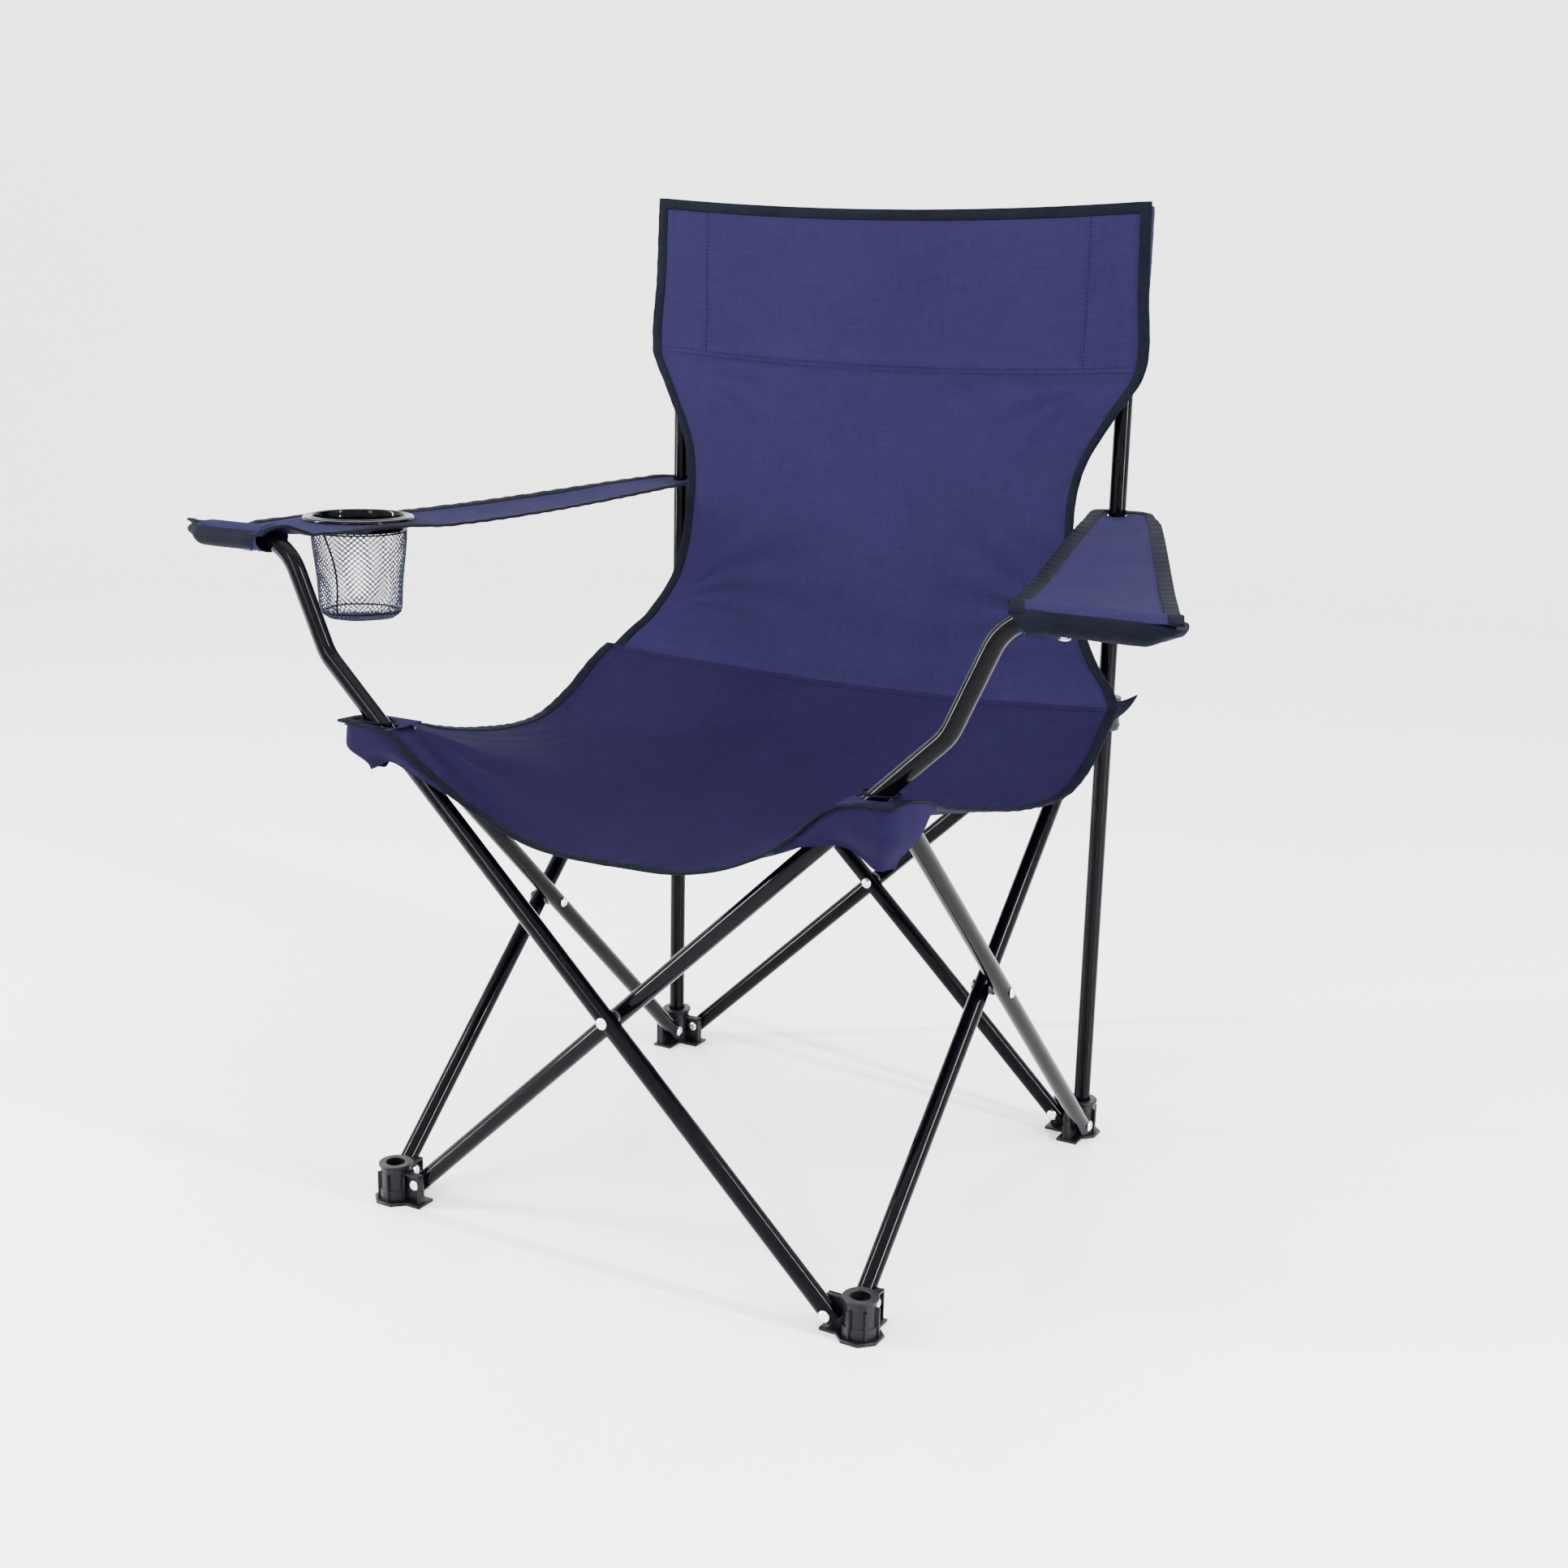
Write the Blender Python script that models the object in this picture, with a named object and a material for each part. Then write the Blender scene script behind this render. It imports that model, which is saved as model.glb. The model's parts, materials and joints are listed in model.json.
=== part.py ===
"""Folding camp chair: four scissor pairs of round steel tube between moulded corner hubs, two back
posts with sliding hubs, two bent arm tubes, and a sling of cloth with armrest straps and a mesh cup.

Metres, +Z up, front of the chair towards -Y, +X to the sitter's left. The chair stands open. Seen from
above, the four faces are one face turned by a quarter turn, so most pieces are made once and turned.
"""

import math

import bmesh
import bpy
from mathutils import Matrix, Vector

# Frame
POST_HALF = 0.224        # from the middle of the chair to a corner post, along X and along Y
SCISSOR_ARM = 0.279      # from an end rivet of a scissor tube to its middle rivet
EAR = 0.022              # from a hub's centre to the rivet in its ear
FOOT_RIVET_Z = 0.018
TUBE_R = 0.0075
TUBE_WALL = 0.0009
TUBE_GAP = 0.004         # between the two tubes of a scissor pair, filled by a washer
END_CLEAR = 0.002        # from the end of a tube to the hub that it points at
POST_ABOVE = 0.4311      # back posts above the top rivets
ARM_RISE = 0.0975        # from a front top rivet to the first bend of an arm tube
ARM_UPRIGHT = 0.0986     # between the two bends
ARM_STEEPEN = 21.9       # degrees, the first bend
ARM_GRIP = 0.092         # level end of the arm tube
BEND_R = 0.034

# Hubs and fasteners
HUB_WALL = 0.0045
HUB_HEIGHT = 0.034
SLIDER_HEIGHT = 0.030
TOP_HUB_DROP = 0.016
TOP_HUB_RIB = 0.004       # thickening where a top hub's two ears meet
TOP_HUB_RIB_TALL = 0.010
TOP_HUB_CLEAR = 0.0013    # from a top hub's ear to the arm tube that leans past it
BASE_BEYOND = 0.0045     # sole of a foot beyond its cup
BASE_HEIGHT = 0.004
EAR_THICK = 0.0047
EAR_TUBE_SIDE = 0.0017   # from the hub's middle plane to the face that the tube lies on
EAR_BEYOND = 0.007       # ear beyond its rivet
FOOT_EAR_RISE = 0.010     # ears above their rivets
SLIDER_EAR_RISE = 0.009
CUP_FLOOR = 0.002         # of a foot's cup, above its sole
RIVET_R = 0.0025
RIVET_HEAD_R = 0.0048
RIVET_HEAD = 0.0018
HOLE_R = 0.0028
WASHER_R = 0.0055
PLUG_LONG = 0.012
RUNNING = 0.0004         # radial clearance of a slider on its post
GAP = 0.0003             # between pieces that touch

# Cloth, where an offset is from a corner post, a top rivet or an arm tube's corner, whichever holds it
CLOTH = 0.003
CLOTH_EDGE = 0.012       # front hem in front of the posts' plane
SEAT_DIP = 0.0649        # lowest point of the front hem under the top rivets
SEAT_CORNER_RISE = 0.080
SEAT_BESIDE_TUBE = 0.002 # front corners of the seat inside the arm tubes' rivets
SEAT_SHOULDER = 0.028
CREASE_FORWARD = 0.054   # middle of the crease in front of the posts
CREASE_RISE = 0.0071
CREASE_END_OUT = 0.038
CREASE_END_FORWARD = 0.072
CREASE_END_RISE = 0.0211
BACK_ABOVE_POST = 0.007
BACK_OVERHANG = 0.018    # top of the back beyond the posts
SLEEVE_LONG = 0.141      # length of the sleeves over the post tops
SLEEVE_ROOM = 0.004      # between a post and the inside of its sleeve
STRAP_ABOVE_TUBE = 0.0026
STRAP_REAR_RISE = 0.014
STRAP_LEVEL_PAST_CUP = 0.0074
STRAP_REAR_IN = 0.024
STRAP_REAR_OUT = 0.028
STRAP_REAR_BEHIND = 0.0185
STRAP_FRONT_OUT = 0.0205
GRIP_OVER_BEND = 0.0074  # of the tube's bend that the sleeve covers
GRIP_BEYOND = 0.0235     # sleeve beyond the end of the arm tube
GRIP_BESIDE = 0.0145     # half depth of the sleeve beyond the tube, and half height
GRIP_ABOVE = 0.004
GRIP_WALL = 0.0015
GRIP_RIVET = 0.56        # share of the level end
CUP_BEHIND_GRIP = 0.0962
CUP_R = 0.039            # inside of the cup ring
CUP_LIP = 0.0087         # width of the ring's flange
CUP_SKIRT = 0.0035
CUP_FLANGE = 0.003
CUP_RING_DEPTH = 0.012
BASKET_TOP_OUT = 0.0018  # net bag against the inside of the ring
BASKET_BOTTOM_IN = 0.005
BASKET_DEPTH = 0.077
BASKET_WALL = 0.0014
POCKET_IN = 0.0205       # from the corner post's axis inwards to the open edges of a corner pocket
POCKET_OUT = 0.0265      # and outwards to its closed walls
POCKET_RISE = 0.0166
POCKET_DROP = 0.036
POCKET_WALL = 0.002

# Worked out from the sizes above
PLANE = TUBE_R + TUBE_GAP / 2
TILT = math.asin((POST_HALF - EAR) / SCISSOR_ARM)
PIVOT_Z = FOOT_RIVET_Z + SCISSOR_ARM * math.cos(TILT)
TOP_RIVET_Z = 2 * PIVOT_Z - FOOT_RIVET_Z
POST_TOP_Z = TOP_RIVET_Z + POST_ABOVE
HUB_R = TUBE_R + HUB_WALL
SLEEVE_HALF = TUBE_R + SLEEVE_ROOM
GRIP_HALF_DEPTH = TUBE_R + GRIP_BESIDE
GRIP_HALF_HEIGHT = TUBE_R + GRIP_ABOVE
TUBE_END = EAR - HUB_R - END_CLEAR
BASE_R = HUB_R + BASE_BEYOND
CUP_FLANGE_R = CUP_R + CUP_LIP
BASKET_TOP_R = CUP_R + BASKET_TOP_OUT
BASKET_BOTTOM_R = CUP_R - BASKET_BOTTOM_IN
STEEPER = TILT - math.radians(ARM_STEEPEN)
ARM_CORNER_X = POST_HALF - EAR + ARM_RISE * math.sin(TILT) + ARM_UPRIGHT * math.sin(STEEPER)
LEVEL_Z = TOP_RIVET_Z + ARM_RISE * math.cos(TILT) + ARM_UPRIGHT * math.cos(STEEPER)
GRIP_END_X = ARM_CORNER_X + ARM_GRIP
GRIP_START_X = ARM_CORNER_X + BEND_R * math.tan((math.pi / 2 - STEEPER) / 2) - GRIP_OVER_BEND
GRIP_RIVET_X = GRIP_END_X - ARM_GRIP * GRIP_RIVET
ARM_Z = LEVEL_Z + STRAP_ABOVE_TUBE
SEAT_FRONT_Y = -POST_HALF - CLOTH_EDGE
SEAT_FRONT_Z = TOP_RIVET_Z - SEAT_DIP
CREASE_Y = POST_HALF - CREASE_FORWARD
CREASE_Z = TOP_RIVET_Z + CREASE_RISE
CREASE_END = (POST_HALF + CREASE_END_OUT, POST_HALF - CREASE_END_FORWARD, TOP_RIVET_Z + CREASE_END_RISE)
BACK_TOP_Z = POST_TOP_Z + BACK_ABOVE_POST
BACK_RISE = BACK_TOP_Z - CREASE_Z
SLEEVE_Z = BACK_TOP_Z - SLEEVE_LONG
REAR_PROUD = PLANE + TUBE_R + GAP + RIVET_HEAD
FRONT_PROUD = PLANE + GRIP_HALF_DEPTH
CENTRE_Y = (FRONT_PROUD - REAR_PROUD) / 2
ROUND = 12
DRILL_SIDES = 8
HUB_SIDES = 16


def clear_scene():
    for old in list(bpy.data.objects):
        bpy.data.objects.remove(old, do_unlink=True)


def material(name, color, roughness, metallic=0.0):
    made = bpy.data.materials.new(name)
    made.use_nodes = True
    shader = made.node_tree.nodes["Principled BSDF"]
    shader.inputs["Base Color"].default_value = (*color, 1.0)
    shader.inputs["Roughness"].default_value = roughness
    shader.inputs["Metallic"].default_value = metallic
    return made


def place(name, mesh, finish, parent, matrix=None):
    made = bpy.data.objects.new(name, mesh)
    bpy.context.scene.collection.objects.link(made)
    made.parent = parent
    made.matrix_local = matrix or Matrix.Identity(4)
    if not mesh.materials:
        mesh.materials.append(finish)
    return made


def mesh_from(bm, name, smooth_angle=35.0):
    mesh = bpy.data.meshes.new(name)
    bm.to_mesh(mesh)
    bm.free()
    mesh.shade_smooth()
    mesh.set_sharp_from_angle(angle=math.radians(smooth_angle))
    return mesh


def box(bm, low, high):
    size = [h - l for l, h in zip(low, high)]
    middle = [(l + h) / 2 for l, h in zip(low, high)]
    matrix = Matrix.Translation(middle) @ Matrix.Diagonal((*size, 1.0))
    return bmesh.ops.create_cube(bm, size=1.0, matrix=matrix)["verts"]


def rod(bm, start, end, radius, segments=ROUND):
    start, end = Vector(start), Vector(end)
    along = end - start
    turn = along.to_track_quat("Z", "Y").to_matrix().to_4x4()
    matrix = Matrix.Translation((start + end) / 2) @ turn
    return bmesh.ops.create_cone(
        bm, cap_ends=True, segments=segments, radius1=radius, radius2=radius,
        depth=along.length, matrix=matrix,
    )["verts"]


def turned(profile, segments=ROUND):
    """A closed turned solid about Z from (radius, z) points."""
    bm = bmesh.new()
    points = [bm.verts.new((r, 0.0, z)) for r, z in profile]
    edges = [bm.edges.new(pair) for pair in zip(points, points[1:])]
    if profile[0][0] > 0:
        edges.append(bm.edges.new((points[-1], points[0])))
    bmesh.ops.spin(
        bm, geom=points + edges, axis=(0, 0, 1), cent=(0, 0, 0), angle=math.tau,
        steps=segments, use_merge=True,
    )
    bmesh.ops.remove_doubles(bm, verts=bm.verts, dist=1e-6)
    bmesh.ops.recalc_face_normals(bm, faces=bm.faces)
    return bm


def combined(name, bodies, cuts=()):
    """One mesh from bmesh bodies joined with exact Booleans and cut by others."""
    def guide(bm, number):
        made = bpy.data.objects.new(f"{name}_guide_{number}", mesh_from(bm, name))
        bpy.context.scene.collection.objects.link(made)
        made.hide_render = True
        made.display_type = "WIRE"
        return made

    guides = [guide(bm, number) for number, bm in enumerate([*bodies, *cuts])]
    base = guides[0]
    for number, other in enumerate(guides[1:], 1):
        step = base.modifiers.new(f"step_{number}", "BOOLEAN")
        step.operation = "UNION" if number < len(bodies) else "DIFFERENCE"
        step.object = other
        step.solver = "EXACT"
    bpy.context.view_layer.update()
    depsgraph = bpy.context.evaluated_depsgraph_get()
    mesh = bpy.data.meshes.new_from_object(base.evaluated_get(depsgraph))
    for old in guides:
        bpy.data.objects.remove(old, do_unlink=True)
    bm = bmesh.new()
    bm.from_mesh(mesh)
    bmesh.ops.remove_doubles(bm, verts=bm.verts, dist=2e-6)
    bmesh.ops.dissolve_degenerate(bm, edges=bm.edges, dist=2e-6)
    return mesh_from(bm, name)


def single(make, *arguments, **options):
    bm = bmesh.new()
    make(bm, *arguments, **options)
    return bm


# Tubes -------------------------------------------------------------------------------------------

def rounded_path(corners, radius, step_turn=math.radians(14)):
    """The corners joined by straight runs, with an arc at each inner corner."""
    path = [Vector(corners[0])]
    for before, corner, after in zip(corners, corners[1:], corners[2:]):
        corner = Vector(corner)
        into = (corner - Vector(before)).normalized()
        out = (Vector(after) - corner).normalized()
        turn = into.angle(out)
        reach = radius * math.tan(turn / 2)
        centre = corner + (out - into).normalized() * radius / math.cos(turn / 2)
        first = corner - into * reach - centre
        axis = into.cross(out)
        steps = math.ceil(turn / step_turn)
        for step in range(steps + 1):
            path.append(centre + Matrix.Rotation(turn * step / steps, 3, axis) @ first)
    path.append(Vector(corners[-1]))
    return path


def swept(path, radius):
    """A round bar along a path: one disc extruded from point to point and mitred at each."""
    bm = bmesh.new()
    heading = (path[1] - path[0]).normalized()
    turn = heading.to_track_quat("Z", "Y").to_matrix().to_4x4()
    ring = bmesh.ops.create_circle(
        bm, segments=ROUND, radius=radius, matrix=Matrix.Translation(path[0]) @ turn,
    )["verts"]
    edges = list({edge for vert in ring for edge in vert.link_edges})
    bmesh.ops.contextual_create(bm, geom=edges)
    for number in range(1, len(path)):
        made = bmesh.ops.extrude_edge_only(bm, edges=edges)["geom"]
        edges = [part for part in made if isinstance(part, bmesh.types.BMEdge)]
        before = heading
        if number < len(path) - 1:
            heading = (path[number + 1] - path[number]).normalized()
        mitre = (before + heading).normalized()
        for vert in {vert for edge in edges for vert in edge.verts}:
            vert.co += before * (path[number] - vert.co).dot(mitre) / before.dot(mitre)
    bmesh.ops.contextual_create(bm, geom=edges)
    bmesh.ops.recalc_face_normals(bm, faces=bm.faces)
    return bm


def tube(name, path, holes, upright_holes=()):
    """A hollow tube along a path in a plane of constant Y, drilled along Y and along Z."""
    first = (path[0] - path[1]).normalized()
    last = (path[-1] - path[-2]).normalized()
    bore = [path[0] + first * 0.002, *path[1:-1], path[-1] + last * 0.002]
    across, up = Vector((0, 2 * TUBE_R, 0)), Vector((0, 0, 2 * TUBE_R))
    drills = [single(rod, hole - across, hole + across, HOLE_R, DRILL_SIDES) for hole in holes]
    drills += [single(rod, hole - up, hole + up, HOLE_R, DRILL_SIDES) for hole in upright_holes]
    return combined(name, [swept(path, TUBE_R)], [swept(bore, TUBE_R - TUBE_WALL), *drills])


def scissor_tube(name, arm):
    """A scissor tube about its middle rivet at the origin, in its own plane, leaning towards -X.

    The lower end is at +X. With arm, the upper end goes on as an arm tube.
    """
    def along(distance):
        return Vector((-math.sin(TILT) * distance, 0.0, math.cos(TILT) * distance))

    start = along(-SCISSOR_ARM - TUBE_END)
    holes = [along(-SCISSOR_ARM), along(0.0), along(SCISSOR_ARM)]
    if not arm:
        return tube(name, [start, along(SCISSOR_ARM + TUBE_END)], holes)
    bend = along(SCISSOR_ARM + ARM_RISE)
    corner = bend + Vector((-math.sin(STEEPER), 0.0, math.cos(STEEPER))) * ARM_UPRIGHT
    grip = corner - Vector((ARM_GRIP, 0.0, 0.0))
    grip_hole = Vector((-GRIP_RIVET_X, 0.0, LEVEL_Z - PIVOT_Z))
    return tube(name, rounded_path([start, bend, corner, grip], BEND_R), holes, [grip_hole])


# Hubs --------------------------------------------------------------------------------------------

def ear(bm, axis, tube_side, low_z, high_z):
    """A plate from the hub's centre out along +-X or +-Y, with its tube on tube_side (+1 or -1)."""
    reach = EAR + EAR_BEYOND
    faces = sorted((tube_side * EAR_TUBE_SIDE, tube_side * (EAR_TUBE_SIDE - EAR_THICK)))
    if axis == "-X":
        return box(bm, (-reach, faces[0], low_z), (0.0, faces[1], high_z))
    return box(bm, (faces[0], 0.0, low_z), (faces[1], reach, high_z))


def ear_drill(axis, z):
    bm = bmesh.new()
    if axis == "-X":
        rod(bm, (-EAR, -0.02, z), (-EAR, 0.02, z), HOLE_R, DRILL_SIDES)
    else:
        rod(bm, (-0.02, EAR, z), (0.02, EAR, z), HOLE_R, DRILL_SIDES)
    return bm


def foot_hub_mesh():
    """Cup that a post stands in, two ears and a base; its own frame is that of the front left foot."""
    ear_top = FOOT_RIVET_Z + FOOT_EAR_RISE
    bodies = [
        single(rod, (0, 0, 0.0), (0, 0, HUB_HEIGHT), HUB_R, HUB_SIDES),
        single(rod, (0, 0, 0.0), (0, 0, BASE_HEIGHT), BASE_R, 8),
        single(ear, "-X", -1, 0.0, ear_top),
        single(ear, "+Y", -1, 0.0, ear_top),
    ]
    cup = single(rod, (0, 0, BASE_HEIGHT + CUP_FLOOR), (0, 0, HUB_HEIGHT + 0.01), TUBE_R + GAP, HUB_SIDES)
    drills = [ear_drill("-X", FOOT_RIVET_Z), ear_drill("+Y", FOOT_RIVET_Z)]
    return combined("foot_hub", bodies, [cup, *drills])


def top_hub_mesh():
    """Corner plate for the tops of two scissor tubes, about its rivet height."""
    post = EAR_THICK - EAR_TUBE_SIDE
    low = -TOP_HUB_DROP
    high = (EAR - TUBE_R / math.cos(TILT) - post - TOP_HUB_CLEAR) / math.tan(TILT)
    bodies = [
        single(ear, "-X", 1, low, high),
        single(ear, "+Y", 1, low, high),
        single(box, (-post - TOP_HUB_RIB, -post, low),
               (EAR_TUBE_SIDE, EAR_TUBE_SIDE + TOP_HUB_RIB, low + TOP_HUB_RIB_TALL)),
    ]
    return combined("top_hub", bodies, [ear_drill("-X", 0.0), ear_drill("+Y", 0.0)])


def slider_mesh():
    """Ring that slides on a back post, with two ears, about its rivet height."""
    half = SLIDER_HEIGHT / 2
    bodies = [
        single(rod, (0, 0, -half), (0, 0, half), HUB_R, HUB_SIDES),
        single(ear, "-X", 1, -half, SLIDER_EAR_RISE),
        single(ear, "+Y", 1, -half, SLIDER_EAR_RISE),
    ]
    bore = single(rod, (0, 0, -half - 0.01), (0, 0, half + 0.01), TUBE_R + RUNNING, HUB_SIDES)
    return combined("slider", bodies, [bore, ear_drill("-X", 0.0), ear_drill("+Y", 0.0)])


def rivet_mesh(low, high):
    """A rivet along Z between the two faces that it clamps, with a domed head at each end."""
    low, high = low - GAP, high + GAP
    profile = [
        (0.0, low - RIVET_HEAD), (RIVET_HEAD_R * 0.72, low - RIVET_HEAD * 0.86), (RIVET_HEAD_R, low),
        (RIVET_R, low), (RIVET_R, high), (RIVET_HEAD_R, high),
        (RIVET_HEAD_R * 0.72, high + RIVET_HEAD * 0.86), (0.0, high + RIVET_HEAD),
    ]
    return mesh_from(turned(profile, DRILL_SIDES), "rivet")


# Cloth -------------------------------------------------------------------------------------------

def interpolate(stops, at):
    """Smooth value at a place between (place, value...) stops."""
    for before, after in zip(stops, stops[1:]):
        if at <= after[0]:
            share = max(0.0, (at - before[0]) / (after[0] - before[0]))
            share = share * share * (3 - 2 * share) * 0.5 + share * 0.5
            return [a + (b - a) * share for a, b in zip(before[1:], after[1:])]
    return list(stops[-1][1:])


def sheet(across, along, shape, thickness=CLOTH):
    """A closed sheet whose grid of shares (0 to 1 across and along) is placed by shape."""
    bm = bmesh.new()
    bmesh.ops.create_grid(bm, x_segments=across, y_segments=along, size=0.5)
    for vert in bm.verts:
        vert.co = shape(vert.co.x + 0.5, vert.co.y + 0.5)
    bmesh.ops.recalc_face_normals(bm, faces=bm.faces)
    bm.normal_update()
    for vert in bm.verts:
        vert.co += vert.normal * thickness / 2
    bmesh.ops.solidify(bm, geom=list(bm.faces), thickness=thickness)
    bmesh.ops.recalc_face_normals(bm, faces=bm.faces)
    return bm


def seat_edge(y):
    """Half width and height of the seat's free side edge."""
    front, rear = SEAT_FRONT_Y, CREASE_END[1]
    deep = rear - front
    corner_x, corner_z = POST_HALF - EAR - SEAT_BESIDE_TUBE, SEAT_FRONT_Z + SEAT_CORNER_RISE
    return interpolate([
        (front, corner_x - SEAT_SHOULDER, SEAT_FRONT_Z + SEAT_CORNER_RISE * 0.675),
        (front + deep * 0.093, corner_x, corner_z),
        (front + deep * 0.183, POST_HALF + 0.009, corner_z - 0.012),
        (front + deep * 0.376, POST_HALF + 0.022, corner_z - 0.032),
        (front + deep * 0.582, POST_HALF + 0.035, corner_z - 0.045),
        (front + deep * 0.737, POST_HALF + 0.040, corner_z - 0.043),
        (front + deep * 0.866, POST_HALF + 0.041, corner_z - 0.026),
        (rear, CREASE_END[0], CREASE_END[2]),
    ], y)


def seat_middle_z(y):
    deep = CREASE_Y - SEAT_FRONT_Y
    return interpolate([
        (SEAT_FRONT_Y, SEAT_FRONT_Z), (SEAT_FRONT_Y + deep * 0.384, SEAT_FRONT_Z + 0.002),
        (SEAT_FRONT_Y + deep * 0.655, SEAT_FRONT_Z + 0.014),
        (SEAT_FRONT_Y + deep * 0.852, SEAT_FRONT_Z + 0.036),
        (CREASE_Y, CREASE_Z),
    ], y)[0]


def seat_half(side):
    """Half of the seat from the middle line to the free edge, on the side of the sign of side."""
    def shape(out, back):
        y_middle = SEAT_FRONT_Y + (CREASE_Y - SEAT_FRONT_Y) * back
        y_edge = SEAT_FRONT_Y + (CREASE_END[1] - SEAT_FRONT_Y) * back
        y = y_middle + (y_edge - y_middle) * out ** 2
        half, z_edge = seat_edge(y_edge)
        z_middle = seat_middle_z(y_middle)
        bow = interpolate([(SEAT_FRONT_Y, 2.6), (CREASE_Y, 1.8)], y)[0]
        z = z_middle + (z_edge - z_middle) * out ** bow
        return Vector((side * (GAP / 2 + (half - GAP / 2) * out), y, z))

    return sheet(8, 10, shape)


def back_outline(z):
    """Half width of the backrest and its distance behind the middle."""
    return interpolate([
        (CREASE_Z, POST_HALF + 0.028, POST_HALF - 0.064),
        (CREASE_Z + BACK_RISE * 0.084, POST_HALF + 0.007, POST_HALF - 0.047),
        (CREASE_Z + BACK_RISE * 0.186, POST_HALF - 0.018, POST_HALF - 0.037),
        (CREASE_Z + BACK_RISE * 0.348, POST_HALF - 0.028, POST_HALF - 0.033),
        (CREASE_Z + BACK_RISE * 0.471, POST_HALF - 0.023, POST_HALF - 0.029),
        (CREASE_Z + BACK_RISE * 0.585, POST_HALF + 0.0017, POST_HALF - 0.023),
        (SLEEVE_Z, POST_HALF + 0.0225, POST_HALF - 0.015),
        (BACK_TOP_Z, POST_HALF + BACK_OVERHANG, POST_HALF - SLEEVE_HALF - CLOTH / 2),
    ], z)


def backrest_mesh():
    """Front sheet with a sleeve over each post top."""
    lift = CLOTH + 2 * GAP

    def shape(across, up):
        share = 2 * across - 1
        bottom_z = CREASE_Z + (CREASE_END[2] - CREASE_Z) * share ** 2 + lift
        z = bottom_z + (BACK_TOP_Z - bottom_z) * up
        half, y = back_outline(CREASE_Z + (BACK_TOP_Z - CREASE_Z) * up)
        if up == 0.0:
            half, y = CREASE_END[0] - 0.002, CREASE_Y + (CREASE_END[1] - CREASE_Y) * share ** 2
        return Vector((share * half, y, z))

    def sleeve(side, inset):
        half = SLEEVE_HALF + CLOTH - inset
        x_low, x_high = POST_HALF - half - 0.004, POST_HALF + half + 0.003
        if inset:
            x_low, x_high = POST_HALF - half, POST_HALF + half
        y_low, y_high = POST_HALF - half + 0.0002, POST_HALF + half
        low_z = SLEEVE_Z - (0.01 if inset else 0.0)
        xs = sorted((side * x_low, side * x_high))
        return single(box, (xs[0], y_low, low_z), (xs[1], y_high, BACK_TOP_Z + 0.0005 - inset))

    bodies = [sheet(10, 14, shape), sleeve(-1, 0.0), sleeve(1, 0.0)]
    return combined("backrest", bodies, [sleeve(-1, CLOTH), sleeve(1, CLOTH)])


def strap_ends(side):
    """Plan points (inner x, outer x, y) of a strap's ends, at its grip and behind its post."""
    front_y = arm_tube_y(side) + GRIP_HALF_DEPTH + GAP
    front = (ARM_CORNER_X + GAP, GRIP_END_X + STRAP_FRONT_OUT, front_y)
    return front, (POST_HALF - STRAP_REAR_IN, POST_HALF + STRAP_REAR_OUT, POST_HALF + STRAP_REAR_BEHIND)


def arm_tube_y(side):
    return -POST_HALF + side * PLANE


def cup_centre():
    """The cup hangs in the middle of the right strap, a little behind its grip."""
    front, rear = strap_ends(-1)
    back = CUP_BEHIND_GRIP / (rear[2] - front[2])
    inner, outer, y = (near + (far - near) * back for near, far in zip(front, rear))
    return -(inner + outer) / 2, y


def strap_mesh(side, cup):
    """Armrest strap from the back post to the grip, with a hole for the post and one for the cup ring."""
    front, rear = strap_ends(side)
    level = (CUP_BEHIND_GRIP + CUP_FLANGE_R + STRAP_LEVEL_PAST_CUP) / (rear[2] - front[2])
    level_rows = 2 / 6

    def shape(out, row):
        """Level from the grip to behind the cup, then rising to the post."""
        back = level * row / level_rows
        if row > level_rows:
            back = level + (1 - level) * (row - level_rows) / (1 - level_rows)
        inner, outer, y = (near + (far - near) * back for near, far in zip(front, rear))
        rise = STRAP_REAR_RISE * max(0.0, back - level) / (1 - level)
        return Vector((side * (inner + (outer - inner) * out), y, ARM_Z + rise))

    low, high = ARM_Z - 0.01, ARM_Z + STRAP_REAR_RISE + 0.01
    post = (side * POST_HALF, POST_HALF)
    cuts = [single(rod, (*post, low), (*post, high), TUBE_R + 2 * RUNNING, HUB_SIDES)]
    if cup:
        cuts.append(single(rod, (*cup_centre(), low), (*cup_centre(), high), CUP_R + CUP_SKIRT + 2 * GAP, 24))
    return combined("strap", [sheet(2, 6, shape)], cuts)


def grip_mesh(side, y):
    """Flat cloth sleeve round the level end of an arm tube, open towards the chair."""
    def flat_tube(shrink, start, end):
        bm = single(rod, (side * start, y, LEVEL_Z), (side * end, y, LEVEL_Z), 1.0, HUB_SIDES)
        for vert in bm.verts:
            vert.co.y = y + (vert.co.y - y) * (GRIP_HALF_DEPTH - shrink)
            vert.co.z = LEVEL_Z + (vert.co.z - LEVEL_Z) * (GRIP_HALF_HEIGHT - shrink)
        return bm

    start, end = GRIP_START_X, GRIP_END_X + GRIP_BEYOND
    outside = flat_tube(0.0, start, end)
    inside = flat_tube(GRIP_WALL, start - 0.01, end - GRIP_WALL)
    rivet_x, under = side * GRIP_RIVET_X, LEVEL_Z - GRIP_HALF_HEIGHT
    drill = single(rod, (rivet_x, y, under - 0.005), (rivet_x, y, under + 0.005), HOLE_R, DRILL_SIDES)
    return combined("grip", [outside], [inside, drill])


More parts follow.
